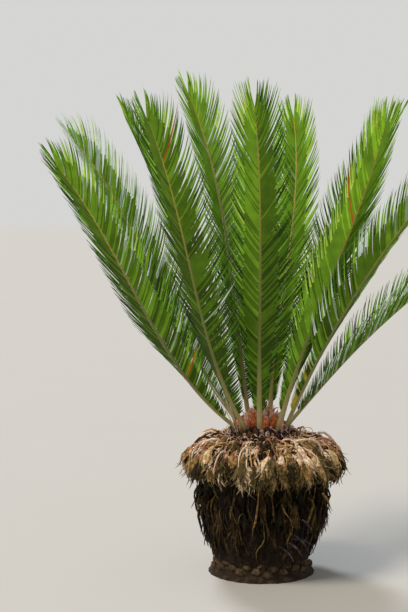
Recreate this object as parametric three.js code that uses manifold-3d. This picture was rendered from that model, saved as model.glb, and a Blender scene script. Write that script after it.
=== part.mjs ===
// A young sago palm: a stout trunk under a skirt of dried woolly scales, and a crown of twelve
// stiff feather fronds round a woolly heart. Millimetres, +Z up, origin at the flat cut under
// the trunk, -Y towards the viewer and +X to the viewer's right.
import * as THREE from "three";
import { mergeVertices } from "three/addons/utils/BufferGeometryUtils.js";
import Module from "manifold-3d";

const wasm = await Module();
wasm.setup();

// Clearance that a piece keeps to the one that carries it.
const SEAT_GAP = 0.3;

// Trunk: nearly straight sides, a low root flare and a rounded crown shoulder.
const TRUNK_SIDES = 20;
const TRUNK_FOOT_RADIUS = 150;
const TRUNK_SHOULDER_RADIUS = 142;
const SHOULDER_HEIGHT = 440;
const CROWN_RISE = 84;
const ROOT_FLARE = 38;
const ROOT_FLARE_HEIGHT = 32;
const TRUNK_RING_HEIGHTS = [0, 18, 45, 90, 180, 310];
const CROWN_RINGS = 6;

// Heart: the low mound of new woolly scales inside the ring of frond bases. The scales are
// dealt out by the golden angle, as the palm grows them.
const HEART_RADIUS = 66;
const HEART_RISE = 34;
const HEART_SIDES = 12;
const HEART_SCALES = 11;
const HEART_SCALE_LENGTH = 62;
const HEART_SCALE_WIDTH = 22;
const HEART_SCALE_THICKNESS = 11;
const HEART_SCALE_HOOK = 6;
// The mound's rim, as a share of its radius, and the ring within which its scales are rooted.
const HEART_RIM = 0.66;
const HEART_ROOT_RING = 0.78;
const GOLDEN_ANGLE = 137.5;

// Skirt of dried scales round the trunk: [radius, height] of each core's section,
// from the top inside, outwards and down.
const SKIRT_PARTS = 8;
const UPPER_CORE = [
  [110, 484], [150, 490], [200, 474], [240, 442], [262, 404], [260, 372], [230, 344], [132, 344],
];
const LOWER_CORE = [[132, 332], [202, 332], [222, 250], [206, 140], [182, 60], [132, 60]];
const CORE_STEPS = 2;

// Rows of hanging scales on the cores. A scale leaves the core at from, turns over at bend
// and ends at tip, all [radius, height].
const UPPER_ROWS = [
  { count: 3, from: [176, 474], bend: [228, 508], tip: [262, 444], width: 42 },
  { count: 4, from: [224, 446], bend: [292, 464], tip: [292, 388], width: 40 },
  { count: 4, from: [244, 404], bend: [316, 410], tip: [304, 344], width: 38 },
  { count: 3, from: [236, 368], bend: [290, 376], tip: [272, 316], width: 36 },
];
const LOWER_ROWS = [
  { count: 3, from: [200, 312], bend: [250, 306], tip: [242, 206], width: 34 },
  { count: 3, from: [204, 210], bend: [242, 208], tip: [228, 106], width: 34 },
  { count: 3, from: [188, 130], bend: [220, 122], tip: [208, 34], width: 32 },
];
const SCALE_THICKNESS = 9;
const SCALE_WANDER = 12;
const SCALE_SWING = 3;
const SCALE_EDGE = 0.6;

// Fronds. Each row gives the azimuth of its base on the crown, the place of its furthest
// leaflet tip [side, away, up], the angle from upright at which it rises and at which it ends,
// how far the end swings round in plan, and how far the blade is rolled about its rib. A
// frond's fullness widens or narrows the angle at which its leaflets lean out.
const FRONDS = [
  { base: 205, tip: [-732, -300, 1490], rise: 56, end: 38, swing: -15, roll: 52 },
  { base: 232, tip: [-415, -380, 1650], rise: 39, end: 28, swing: 0, roll: 20, fullness: 1.2 },
  { base: 263, tip: [-50, -430, 1680], rise: 16, end: 36, swing: -4, roll: 0, fullness: 1.12 },
  { base: 306, tip: [390, -400, 1625], rise: 18, end: 36, swing: -34, roll: -38, fullness: 0.72 },
  { base: 338, tip: [680, -360, 1520], rise: 24, end: 42, swing: 8, roll: -34, fullness: 0.78 },
  { base: 8, tip: [960, 110, 1230], rise: 40, end: 62, swing: -6, roll: 0 },
  { base: 38, tip: [560, 420, 1660], rise: 20, end: 42, swing: 0, roll: 0 },
  { base: 68, tip: [130, 520, 1695], rise: 5, end: 24, swing: 25, roll: 0 },
  { base: 94, tip: [-20, 760, 1500], rise: 25, end: 46, swing: 0, roll: 0 },
  { base: 118, tip: [-290, 430, 1775], rise: 15, end: 28, swing: 15, roll: -6, fullness: 1.15 },
  { base: 146, tip: [-750, 400, 1600], rise: 45, end: 45, swing: 0, roll: -28 },
  { base: 176, tip: [-515, 150, 1665], rise: 20, end: 28, swing: 0, roll: -8 },
];
const BASE_RING_RADIUS = 85;
const BASE_SUNK = 22;
const RIB_STIFFNESS = 0.35;
const LEAFLET_PAIRS = 36;
const PETIOLE_SHARE = 0.09;
const END_LEAFLET = 84;
const RIB_WIDTH = { base: 20, middle: 10, tip: 4 };
const RIB_DEPTH = { base: 15, middle: 9, tip: 3 };
const LEAFLET_LENGTH = 202;
const LEAFLET_THICKNESS = 4;
// Shares of the blade, from the petiole's end to the tip: the leaflets lengthen from the first
// to the second and shorten again from the third on, by SHORTENING at the very end.
const LENGTHENING_FROM = -0.13;
const FULL_LENGTH_FROM = 0.4;
const SHORTENING_FROM = 0.88;
const SHORTENING = 0.45;
// From this share on the leaflets close over the rib's end, to this part of their lean.
const CLOSING_FROM = 0.84;
const CLOSED = 0.4;
// The share of the rib at which the roll of the blade is complete.
const ROLL_COMPLETE = 0.4;
const LEAFLET_ANGLE = { base: 60, tip: 24 };
const UPTURN = 0.3;
const KEEL_ANGLE = { base: 32, tip: 16 };

// Leaflets of different fronds keep this far apart. One that can't is shortened to the next
// of these shares of its length, or left out.
const BLADE_CLEARANCE = 6;
const BLADE_SAMPLE_STEP = 12;
const LENGTH_SHARES = [1, 0.82, 0.65, 0.48];

const COLOURS = {
  trunk: 0x4a3a26,
  heart: 0xb86a3a,
  upperSkirt: 0x97703f,
  lowerSkirt: 0x4d3a1c,
  frondLit: 0x6b8c2c,
  frondShade: 0x4f6b24,
};

const { clamp, degToRad, lerp, radToDeg, smoothstep } = THREE.MathUtils;

// The same row of numbers between 0 and 1 on every run.
function seededRandom(seed) {
  let state = seed;
  return () => {
    state = (state * 1664525 + 1013904223) % 4294967296;
    return state / 4294967296;
  };
}

// A point at an azimuth, a distance from the trunk's axis and a height.
function polar(azimuth, radius, height) {
  const turn = degToRad(azimuth);
  return new THREE.Vector3(radius * Math.cos(turn), radius * Math.sin(turn), height);
}

// A unit vector that leans from upright towards an azimuth.
function leaning(lean, azimuth) {
  return polar(azimuth, Math.sin(degToRad(lean)), Math.cos(degToRad(lean)));
}

// Skins rings of points, each counterclockwise seen from the far end, into a closed geometry.
// A tip point closes the far end, and bladeTip(i, j) may raise strip j after ring i to a point.
function skin(rings, { tip = null, bladeTip = () => null } = {}) {
  const positions = [];
  const face = (...points) => points.forEach((point) => positions.push(...point.toArray()));
  const first = rings[0];
  const last = rings[rings.length - 1];
  const size = first.length;
  for (let j = 1; j < size - 1; j += 1) {
    face(first[0], first[j + 1], first[j]);
    if (!tip) face(last[0], last[j], last[j + 1]);
  }
  for (let j = 0; j < size; j += 1) {
    const next = (j + 1) % size;
    if (tip) face(last[j], last[next], tip);
    for (let i = 0; i < rings.length - 1; i += 1) {
      const corners = [rings[i][j], rings[i][next], rings[i + 1][next], rings[i + 1][j]];
      const point = bladeTip(i, j);
      if (point) {
        corners.forEach((corner, k) => face(corner, corners[(k + 1) % 4], point));
      } else {
        face(corners[0], corners[1], corners[2]);
        face(corners[0], corners[2], corners[3]);
      }
    }
  }
  const geometry = new THREE.BufferGeometry();
  geometry.setAttribute("position", new THREE.Float32BufferAttribute(positions, 3));
  return geometry;
}

// Solids for cutting and joining, and back to a geometry.
function toSolid(geometry) {
  const bare = geometry.clone();
  bare.deleteAttribute("normal");
  bare.deleteAttribute("uv");
  const merged = mergeVertices(bare, 1e-4);
  return new wasm.Manifold(new wasm.Mesh({
    numProp: 3,
    vertProperties: Float32Array.from(merged.attributes.position.array),
    triVerts: Uint32Array.from(merged.index.array),
  }));
}

function toGeometry(solid) {
  const mesh = solid.getMesh();
  const geometry = new THREE.BufferGeometry();
  geometry.setAttribute("position", new THREE.Float32BufferAttribute(mesh.vertProperties, 3));
  geometry.setIndex(new THREE.Uint32BufferAttribute(mesh.triVerts, 1));
  return geometry;
}

function joined(geometries) {
  return geometries.map(toSolid).reduce((whole, solid) => whole.add(solid));
}

// The trunk's outside, or the same grown by a clearance for the pieces that sit on it.
function trunkGeometry(grown = 0) {
  const profile = [new THREE.Vector2(0, -grown)];
  TRUNK_RING_HEIGHTS.forEach((height) => {
    const taper = lerp(TRUNK_FOOT_RADIUS, TRUNK_SHOULDER_RADIUS, height / SHOULDER_HEIGHT);
    const flare = ROOT_FLARE * Math.exp(-height / ROOT_FLARE_HEIGHT);
    profile.push(new THREE.Vector2(taper + flare + grown, height === 0 ? -grown : height));
  });
  for (let ring = 0; ring < CROWN_RINGS; ring += 1) {
    const turn = (ring / CROWN_RINGS) * (Math.PI / 2);
    profile.push(new THREE.Vector2(
      (TRUNK_SHOULDER_RADIUS + grown) * Math.cos(turn),
      SHOULDER_HEIGHT + (CROWN_RISE + grown) * Math.sin(turn),
    ));
  }
  profile.push(new THREE.Vector2(0, SHOULDER_HEIGHT + CROWN_RISE + grown));
  return new THREE.LatheGeometry(profile, TRUNK_SIDES).rotateX(Math.PI / 2);
}

const trunkWithGap = toSolid(trunkGeometry(SEAT_GAP));

// A flat four-sided scale along a curve, widest at its middle, that ends in a point.
function scaleGeometry(curve, width, thickness, sideways) {
  const stations = [[0, 0.7], [0.5, 1]];
  const rings = stations.map(([t, share]) => {
    const centre = curve.getPoint(t);
    const forward = curve.getTangent(t);
    const across = sideways.clone().addScaledVector(forward, -sideways.dot(forward)).normalize();
    const out = forward.clone().cross(across);
    const half = (width / 2) * share;
    return [
      centre.clone().addScaledVector(across, half),
      centre.clone().addScaledVector(out, thickness / 2),
      centre.clone().addScaledVector(across, -half),
      centre.clone().addScaledVector(out, -thickness / 2),
    ];
  });
  return skin(rings, { tip: curve.getPoint(1) });
}

// The heart: a low mound on the trunk's tip with upright scales round it.
function heartSolid() {
  const floor = SHOULDER_HEIGHT + CROWN_RISE / 2;
  const top = SHOULDER_HEIGHT + CROWN_RISE + HEART_RISE;
  const mound = new THREE.LatheGeometry([
    new THREE.Vector2(0, floor),
    new THREE.Vector2(HEART_RADIUS, floor),
    new THREE.Vector2(HEART_RADIUS, lerp(floor, top, 0.6)),
    new THREE.Vector2(HEART_RADIUS * HEART_RIM, lerp(floor, top, 0.9)),
    new THREE.Vector2(0, top),
  ], HEART_SIDES).rotateX(Math.PI / 2);
  const random = seededRandom(11);
  const scales = [];
  for (let i = 0; i < HEART_SCALES; i += 1) {
    const azimuth = i * GOLDEN_ANGLE;
    const radius = HEART_RADIUS * HEART_ROOT_RING * Math.sqrt((i + 0.5) / HEART_SCALES);
    const root = polar(azimuth, radius, lerp(floor, top, 0.5));
    const length = HEART_SCALE_LENGTH * lerp(0.75, 1.1, random());
    const rise = leaning(radius / 4, azimuth);
    const curve = new THREE.QuadraticBezierCurve3(
      root,
      root.clone().addScaledVector(rise, length * 0.7),
      root.clone().addScaledVector(rise, length * 1.3).add(polar(azimuth, -HEART_SCALE_HOOK, 0)),
    );
    const sideways = polar(azimuth + 90, 1, 0);
    scales.push(scaleGeometry(curve, HEART_SCALE_WIDTH, HEART_SCALE_THICKNESS, sideways));
  }
  return joined([mound, ...scales]).subtract(trunkWithGap);
}

// One part of the skirt: a slice of the core ring with its hanging scales fused on.
function skirtSolid(section, rows, start, seed) {
  const span = 360 / SKIRT_PARTS;
  const seam = radToDeg(SEAT_GAP / TRUNK_SHOULDER_RADIUS);
  const rings = [];
  for (let step = 0; step <= CORE_STEPS; step += 1) {
    const azimuth = start + lerp(seam / 2, span - seam / 2, step / CORE_STEPS);
    rings.push(section.map(([radius, height]) => polar(azimuth, radius, height)));
  }
  const random = seededRandom(seed);
  const jitter = (size) => (random() * 2 - 1) * size;
  const scales = [];
  rows.forEach(({ count, from, bend, tip, width }, row) => {
    const margin = radToDeg((width / 2) / from[0]) + SCALE_EDGE;
    for (let i = 0; i < count; i += 1) {
      const slot = (i + 0.5 + jitter(0.2)) / count;
      const azimuth = start + lerp(margin, span - margin, row % 2 ? slot : 1 - slot);
      const sway = Math.min(azimuth - start - margin, start + span - margin - azimuth);
      const swing = clamp(jitter(SCALE_SWING), -sway, sway);
      const curve = new THREE.QuadraticBezierCurve3(
        polar(azimuth, from[0], from[1] + jitter(SCALE_WANDER / 3)),
        polar(azimuth + swing / 2, bend[0], bend[1] + jitter(SCALE_WANDER / 2)),
        polar(azimuth + swing, tip[0] + jitter(SCALE_WANDER / 3), tip[1] + jitter(SCALE_WANDER)),
      );
      scales.push(scaleGeometry(curve, width, SCALE_THICKNESS, polar(azimuth + 90, 1, 0)));
    }
  });
  return joined([skin(rings), ...scales]).subtract(trunkWithGap);
}

// The rib's curve, from inside the crown to the last pair of leaflets.
function ribCurve({ base, tip, rise, end, swing }) {
  const dome = Math.sqrt(1 - (BASE_RING_RADIUS / TRUNK_SHOULDER_RADIUS) ** 2);
  const seat = polar(base, BASE_RING_RADIUS, SHOULDER_HEIGHT + CROWN_RISE * dome);
  const far = new THREE.Vector3(...tip);
  const heading = radToDeg(Math.atan2(far.y - seat.y, far.x - seat.x));
  const ending = leaning(end, heading + swing);
  const start = seat.addScaledVector(leaning(rise, heading), -BASE_SUNK);
  const stop = far.addScaledVector(ending, -END_LEAFLET);
  const reach = start.distanceTo(stop) * RIB_STIFFNESS;
  return new THREE.CubicBezierCurve3(
    start,
    start.clone().addScaledVector(leaning(rise, heading), reach),
    stop.clone().addScaledVector(ending, -reach),
    stop,
  );
}

// Three values along the rib, blended smoothly.
function along({ base, middle, tip }, share) {
  return share < 0.5 ? lerp(base, middle, smoothstep(share, 0, 0.5)) : lerp(middle, tip, share * 2 - 1);
}

// The rib's sections: five points each, flat above with a keel below, and each section's axes.
function ribStations(row) {
  const curve = ribCurve(row);
  const shares = [0, PETIOLE_SHARE * 0.5];
  for (let i = 0; i <= LEAFLET_PAIRS; i += 1) {
    shares.push(lerp(PETIOLE_SHARE, 1, i / LEAFLET_PAIRS));
  }
  const outward = new THREE.Vector3(...row.tip).setZ(0).normalize();
  return shares.map((share) => {
    const centre = curve.getPointAt(share);
    const forward = curve.getTangentAt(share);
    const upper = outward.clone().negate();
    upper.addScaledVector(forward, -upper.dot(forward)).normalize();
    upper.applyAxisAngle(forward, degToRad(row.roll) * smoothstep(share, 0, ROLL_COMPLETE));
    const side = upper.clone().cross(forward);
    const half = along(RIB_WIDTH, share) / 2;
    const thin = LEAFLET_THICKNESS / 2;
    const point = (x, y) => centre.clone().addScaledVector(side, x).addScaledVector(upper, y);
    const ring = [
      point(half, -thin),
      point(half, thin),
      point(-half, thin),
      point(-half, -thin),
      point(0, -along(RIB_DEPTH, share)),
    ];
    return { share, centre, forward, upper, side, half, ring, fullness: row.fullness ?? 1 };
  });
}

// A leaflet between two stations, on the right (1) or left (-1): its root and its tip. It leans
// forward along the rib, rises out of the blade's plane and turns up a little towards the sky.
function leaflet(from, to, hand, size) {
  const blade = (from.share + to.share) / 2;
  const share = (blade - PETIOLE_SHARE) / (1 - PETIOLE_SHARE);
  const swelling = smoothstep(share, LENGTHENING_FROM, FULL_LENGTH_FROM)
    * (1 - SHORTENING * smoothstep(share, SHORTENING_FROM, 1));
  const closing = lerp(1, CLOSED, smoothstep(share, CLOSING_FROM, 1));
  const usual = lerp(LEAFLET_ANGLE.base, LEAFLET_ANGLE.tip, share);
  const angle = degToRad(usual * closing * from.fullness);
  const keel = degToRad(lerp(KEEL_ANGLE.base, KEEL_ANGLE.tip, share));
  const direction = from.forward.clone().multiplyScalar(Math.cos(angle))
    .addScaledVector(from.side, Math.sin(angle) * Math.cos(keel) * hand)
    .addScaledVector(from.upper, Math.sin(angle) * Math.sin(keel));
  direction.z += UPTURN;
  direction.normalize();
  const rootStart = from.centre.clone().addScaledVector(from.side, from.half * hand);
  const rootEnd = to.centre.clone().addScaledVector(to.side, to.half * hand);
  const tip = rootStart.clone().lerp(rootEnd, 0.5);
  tip.addScaledVector(direction, LEAFLET_LENGTH * swelling * size);
  return new THREE.Triangle(rootStart, rootEnd, tip);
}

// Points spread over a blade, close enough that another blade can't slip between them.
function samples(blade) {
  const points = [];
  const steps = Math.ceil(blade.a.distanceTo(blade.c) / BLADE_SAMPLE_STEP);
  for (let i = 0; i <= steps; i += 1) {
    const left = blade.a.clone().lerp(blade.c, i / steps);
    const right = blade.b.clone().lerp(blade.c, i / steps);
    const across = Math.max(1, Math.ceil(left.distanceTo(right) / BLADE_SAMPLE_STEP));
    for (let j = 0; j <= across; j += 1) points.push(left.clone().lerp(right, j / across));
  }
  return points;
}

function describeBlade(blade, owner, clearance) {
  const middle = blade.getMidpoint(new THREE.Vector3());
  const reach = Math.max(...[blade.a, blade.b, blade.c].map((corner) => corner.distanceTo(middle)));
  return { blade, owner, clearance, middle, reach, points: samples(blade) };
}

function clash(one, other) {
  const clearance = Math.max(one.clearance, other.clearance);
  if (one.middle.distanceTo(other.middle) > one.reach + other.reach + clearance) return false;
  const near = new THREE.Vector3();
  const touches = (points, blade) => points.some(
    (point) => blade.closestPointToPoint(point, near).distanceTo(point) < clearance,
  );
  return touches(one.points, other.blade) || touches(other.points, one.blade);
}

// Places every frond's leaflets, from the tips inwards, each as long as its neighbours allow.
function placeLeaflets(ribs) {
  const petioleStations = 2;
  const placed = ribs.flatMap((stations, owner) => stations.slice(1).map((station, i) => {
    const rib = new THREE.Triangle(
      stations[i].centre.clone().addScaledVector(stations[i].side, -stations[i].half),
      stations[i].centre.clone().addScaledVector(stations[i].side, stations[i].half),
      station.centre,
    );
    return describeBlade(rib, owner, BLADE_CLEARANCE + station.half);
  }));
  const tips = ribs.map(() => new Map());
  for (let i = LEAFLET_PAIRS - 1; i >= 0; i -= 1) {
    const from = i + petioleStations;
    ribs.forEach((stations, owner) => [1, -1].forEach((hand) => {
      const fits = LENGTH_SHARES.map((size) => leaflet(stations[from], stations[from + 1], hand, size))
        .map((blade) => describeBlade(blade, owner, BLADE_CLEARANCE))
        .find((candidate) => !placed.some(
          (other) => other.owner !== owner && clash(candidate, other),
        ));
      if (!fits) return;
      placed.push(fits);
      tips[owner].set(`${from} ${hand}`, fits.blade.c);
    }));
  }
  return tips;
}

function frondSolid(stations, tips) {
  const rightStrip = 0;
  const leftStrip = 2;
  const end = stations[stations.length - 1];
  const geometry = skin(stations.map((station) => station.ring), {
    tip: end.centre.clone().addScaledVector(end.forward, END_LEAFLET),
    bladeTip: (i, j) => {
      if (j === rightStrip) return tips.get(`${i} 1`);
      if (j === leftStrip) return tips.get(`${i} -1`);
      return null;
    },
  });
  return toSolid(geometry).subtract(trunkWithGap);
}

// Assembly: every piece is its own mesh under its plain name.
const palm = new THREE.Group();

function add(name, geometry, color, roughness = 0.85) {
  geometry.computeVertexNormals();
  const material = new THREE.MeshStandardMaterial({ color, roughness, metalness: 0, flatShading: true });
  const mesh = new THREE.Mesh(geometry, material);
  mesh.name = name;
  palm.add(mesh);
}

const twoDigits = (number) => String(number).padStart(2, "0");

add("trunk", trunkGeometry(), COLOURS.trunk, 0.95);
add("crown_heart", toGeometry(heartSolid()), COLOURS.heart, 0.95);

const partSpan = 360 / SKIRT_PARTS;
for (let i = 0; i < SKIRT_PARTS; i += 1) {
  const upper = skirtSolid(UPPER_CORE, UPPER_ROWS, i * partSpan, 101 + i);
  const lower = skirtSolid(LOWER_CORE, LOWER_ROWS, (i + 0.5) * partSpan, 201 + i);
  add(`skirt_upper_${twoDigits(i + 1)}`, toGeometry(upper), COLOURS.upperSkirt, 0.95);
  add(`skirt_lower_${twoDigits(i + 1)}`, toGeometry(lower), COLOURS.lowerSkirt, 0.95);
}

const ribs = FRONDS.map(ribStations);
const leafletTips = placeLeaflets(ribs);
ribs.forEach((stations, i) => {
  const colour = FRONDS[i].tip[1] < 0 ? COLOURS.frondLit : COLOURS.frondShade;
  add(`frond_${twoDigits(i + 1)}`, toGeometry(frondSolid(stations, leafletTips[i])), colour, 0.5);
});

export default palm;
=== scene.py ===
import math
import random

import bmesh
import bpy
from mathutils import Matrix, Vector


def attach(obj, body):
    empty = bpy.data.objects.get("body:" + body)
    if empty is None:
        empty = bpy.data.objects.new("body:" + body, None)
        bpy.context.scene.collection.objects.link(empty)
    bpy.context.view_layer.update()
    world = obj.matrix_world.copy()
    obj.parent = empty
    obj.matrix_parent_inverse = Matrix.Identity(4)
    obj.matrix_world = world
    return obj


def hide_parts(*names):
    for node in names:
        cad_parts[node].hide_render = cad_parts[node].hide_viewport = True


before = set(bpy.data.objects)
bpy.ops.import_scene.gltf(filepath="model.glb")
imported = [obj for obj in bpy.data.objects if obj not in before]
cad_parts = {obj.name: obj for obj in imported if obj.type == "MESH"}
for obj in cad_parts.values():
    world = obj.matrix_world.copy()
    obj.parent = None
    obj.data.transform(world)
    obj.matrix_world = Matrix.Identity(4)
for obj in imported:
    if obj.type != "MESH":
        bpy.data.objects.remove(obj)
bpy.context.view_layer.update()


# Camera.
# It stands five metres in front of the palm at the photograph's height and looks down five
# degrees. Its lens frames the plant as the photograph does, which cuts the right-hand fronds.
VIEW_DISTANCE = 5.0
VIEW_TILT = 5.0
VIEW_TARGET = Vector((-0.203, 0.0, 0.941))
SENSOR = 36.0
LENS = 84.03


def put_in_scene(name, data):
    """An object that holds a mesh, curve, lamp or camera, at the origin, unturned and unscaled."""
    piece = bpy.data.objects.new(name, data)
    bpy.context.scene.collection.objects.link(piece)
    return piece


camera_data = bpy.data.cameras.new("camera")
camera_data.sensor_width = SENSOR
camera_data.lens = LENS
camera = put_in_scene("camera", camera_data)
tilt = math.radians(VIEW_TILT)
camera.location = VIEW_TARGET + VIEW_DISTANCE * Vector((0.0, -math.cos(tilt), math.sin(tilt)))
camera.rotation_euler = (math.radians(90.0) - tilt, 0.0, 0.0)
bpy.context.scene.camera = camera
bpy.context.scene.view_settings.view_transform = "Standard"


# Floor and soft studio light.
# A plain pale floor runs out to the horizon under an even pale sky. A broad key lamp stands
# high on the left, and a second one behind the palm brings out the gloss of its leaves.
FLOOR_RADIUS = 40.0
FLOOR_SIDES = 96
FLOOR_COLOUR = "bab9b6"
FLOOR_MOTTLE = 0.97
FLOOR_PATCH = 0.667
SKY_COLOUR = "e4e4e2"
SKY_STRENGTHS = {"horizon": 0.86, "overhead": 0.42}
SKY_HEIGHTS = {"horizon": 0.12, "overhead": 0.5}
LAMPS = {
    "key_lamp": {"from": (-0.6, -0.36, 1.05), "spread": 20.0, "strength": 2.2, "colour": "fff3e0"},
    "back_lamp": {"from": (-0.35, 0.75, 0.9), "spread": 14.0, "strength": 1.9, "colour": "f2f7ff"},
}


def linear(code):
    """A six-digit sRGB colour as linear red, green, blue and a full alpha."""
    shares = [int(code[i:i + 2], 16) / 255 for i in (0, 2, 4)]
    return [s / 12.92 if s <= 0.04045 else ((s + 0.055) / 1.055) ** 2.4 for s in shares] + [1.0]


def add(tree, kind, links=None, **settings):
    """Adds a node with its settings. links gives each input, by name or number, a value or the
    socket or node that feeds it."""
    made = tree.nodes.new(kind)
    for name, value in settings.items():
        setattr(made, name, value)
    for key, value in (links or {}).items():
        socket = made.inputs[key]
        if isinstance(value, bpy.types.Node):
            value = value.outputs[0]
        if isinstance(value, bpy.types.NodeSocket):
            tree.links.new(value, socket)
        else:
            socket.default_value = value
    return made


def new_material(name):
    """A material with an empty node tree but for its output, and that tree."""
    material = bpy.data.materials.new(name)
    material.use_nodes = True
    material.node_tree.nodes.clear()
    return material, material.node_tree


def as_mesh(name, form):
    """The mesh of a form that is finished, which is freed."""
    mesh = bpy.data.meshes.new(name)
    form.to_mesh(mesh)
    form.free()
    return mesh


def painted_floor():
    """Matt painted board: an even pale tone, with a faint mottle that keeps it from looking blank."""
    material, tree = new_material("matt painted board")
    place = add(tree, "ShaderNodeTexCoord").outputs["Object"]
    mottle = add(tree, "ShaderNodeTexNoise", {"Vector": place, "Scale": 1 / FLOOR_PATCH, "Detail": 3.0})
    base = linear(FLOOR_COLOUR)
    tone = add(tree, "ShaderNodeMix", {
        0: mottle.outputs["Fac"],
        6: [c * FLOOR_MOTTLE for c in base[:3]] + [1.0],
        7: base,
    }, data_type="RGBA")
    shader = add(tree, "ShaderNodeBsdfPrincipled", {
        "Base Color": tone.outputs[2], "Roughness": 0.8, "Specular IOR Level": 0.2,
    })
    add(tree, "ShaderNodeOutputMaterial", {"Surface": shader})
    return material


floor_form = bmesh.new()
bmesh.ops.create_circle(floor_form, cap_ends=True, segments=FLOOR_SIDES, radius=FLOOR_RADIUS)
floor = put_in_scene("floor", as_mesh("floor", floor_form))
floor.data.materials.append(painted_floor())

for name, lamp in LAMPS.items():
    lamp_data = bpy.data.lights.new(name, "SUN")
    lamp_data.angle = math.radians(lamp["spread"])
    lamp_data.energy = lamp["strength"]
    lamp_data.color = linear(lamp["colour"])[:3]
    turned = Vector(lamp["from"]).to_track_quat("Z", "Y").to_euler()
    put_in_scene(name, lamp_data).rotation_euler = turned

sky = bpy.data.worlds.new("sky")
sky.use_nodes = True
sky.node_tree.nodes.clear()
direction = add(sky.node_tree, "ShaderNodeTexCoord").outputs["Generated"]
height = add(sky.node_tree, "ShaderNodeSeparateXYZ", {0: direction}).outputs["Z"]
glow = add(sky.node_tree, "ShaderNodeMapRange", {
    "Value": height, "From Min": SKY_HEIGHTS["horizon"], "From Max": SKY_HEIGHTS["overhead"],
    "To Min": SKY_STRENGTHS["horizon"], "To Max": SKY_STRENGTHS["overhead"],
})
background = add(sky.node_tree, "ShaderNodeBackground", {
    "Color": linear(SKY_COLOUR), "Strength": glow,
})
add(sky.node_tree, "ShaderNodeOutputWorld", {"Surface": background})
bpy.context.scene.world = sky


# Frond ribs.
# Each frond has one stiff woody rib that springs from the crown and arches out. It is grown
# whole: tan and thick at its foot, olive in its middle, golden and slim above.
MM = 0.001
SHOULDER_HEIGHT = 440 * MM
SHOULDER_RADIUS = 142 * MM
CROWN_RISE = 84 * MM
BASE_RING_RADIUS = 85 * MM
BASE_SUNK = 22 * MM
RIB_STIFFNESS = 0.35
END_LEAFLET = 84 * MM
PETIOLE_SHARE = 0.09
ROLL_END = 0.4
RIB_STEPS = 96
RIB_SIDES = 10
RIB_FLATNESS = 0.75
RIB_MIDDLE = 0.5
RIB_HALF_WIDTHS = {"base": 9.5 * MM, "middle": 4.6 * MM, "tip": 1.4 * MM}
RIB_STREAK = 6.25 * MM
RIB_COLOURS = [
    (0.0, "644c2c"), (0.06, "aca070"), (0.12, "948c4c"), (0.28, "646a22"), (0.55, "7a782a"),
    (0.8, "ac962e"), (1.0, "ccb03a"),
]
# The base's azimuth on the crown, the furthest leaflet's tip in millimetres, the angle from
# upright at which the rib rises and ends, the swing of its end in plan and the blade's roll. A
# frond's fullness widens or narrows the angle at which its leaflets lean out.
FRONDS = [
    {"base": 205, "tip": (-732, -300, 1490), "rise": 56, "end": 38, "swing": -15, "roll": 52},
    {"base": 232, "tip": (-415, -380, 1650), "rise": 39, "end": 28, "swing": 0, "roll": 20,
     "fullness": 1.2},
    {"base": 263, "tip": (-50, -430, 1680), "rise": 16, "end": 36, "swing": -4, "roll": 0,
     "fullness": 1.12},
    {"base": 306, "tip": (390, -400, 1625), "rise": 18, "end": 36, "swing": -34, "roll": -38,
     "fullness": 0.72},
    {"base": 338, "tip": (680, -360, 1520), "rise": 24, "end": 42, "swing": 8, "roll": -34,
     "fullness": 0.78},
    {"base": 8, "tip": (960, 110, 1230), "rise": 40, "end": 62, "swing": -6, "roll": 0},
    {"base": 38, "tip": (560, 420, 1660), "rise": 20, "end": 42, "swing": 0, "roll": 0},
    {"base": 68, "tip": (130, 520, 1695), "rise": 5, "end": 24, "swing": 25, "roll": 0},
    {"base": 94, "tip": (-20, 760, 1500), "rise": 25, "end": 46, "swing": 0, "roll": 0},
    {"base": 118, "tip": (-290, 430, 1775), "rise": 15, "end": 28, "swing": 15, "roll": -6,
     "fullness": 1.15},
    {"base": 146, "tip": (-750, 400, 1600), "rise": 45, "end": 45, "swing": 0, "roll": -28},
    {"base": 176, "tip": (-515, 150, 1665), "rise": 20, "end": 28, "swing": 0, "roll": -8},
]


def polar(azimuth, radius, height):
    """A point at an azimuth in degrees, a distance from the trunk's axis and a height."""
    turn = math.radians(azimuth)
    return Vector((radius * math.cos(turn), radius * math.sin(turn), height))


def leaning(lean, azimuth):
    """A unit vector that leans from upright towards an azimuth."""
    return polar(azimuth, math.sin(math.radians(lean)), math.cos(math.radians(lean)))


def new_line(name, smoothness):
    """Curve data with that many steps from one of its points to the next."""
    data = bpy.data.curves.new(name, "CURVE")
    data.dimensions = "3D"
    data.resolution_u = smoothness
    return data


def rib_curve(name, frond):
    """The rib's own line as a curve object, from inside the crown to the last pair of leaflets."""
    dome = math.sqrt(1 - (BASE_RING_RADIUS / SHOULDER_RADIUS) ** 2)
    seat = polar(frond["base"], BASE_RING_RADIUS, SHOULDER_HEIGHT + CROWN_RISE * dome)
    far = Vector(frond["tip"]) * MM
    heading = math.degrees(math.atan2(far.y - seat.y, far.x - seat.x))
    rising = leaning(frond["rise"], heading)
    ending = leaning(frond["end"], heading + frond["swing"])
    start = seat - rising * BASE_SUNK
    stop = far - ending * END_LEAFLET
    reach = (stop - start).length * RIB_STIFFNESS
    data = new_line(name, smoothness=64)
    spline = data.splines.new("BEZIER")
    spline.bezier_points.add(1)
    ends = ((start, rising * reach), (stop, ending * reach))
    for point, (place, handle) in zip(spline.bezier_points, ends):
        point.handle_left_type = "FREE"
        point.handle_right_type = "FREE"
        point.co = place
        point.handle_left = place - handle
        point.handle_right = place + handle
    return put_in_scene(name, data)


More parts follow.
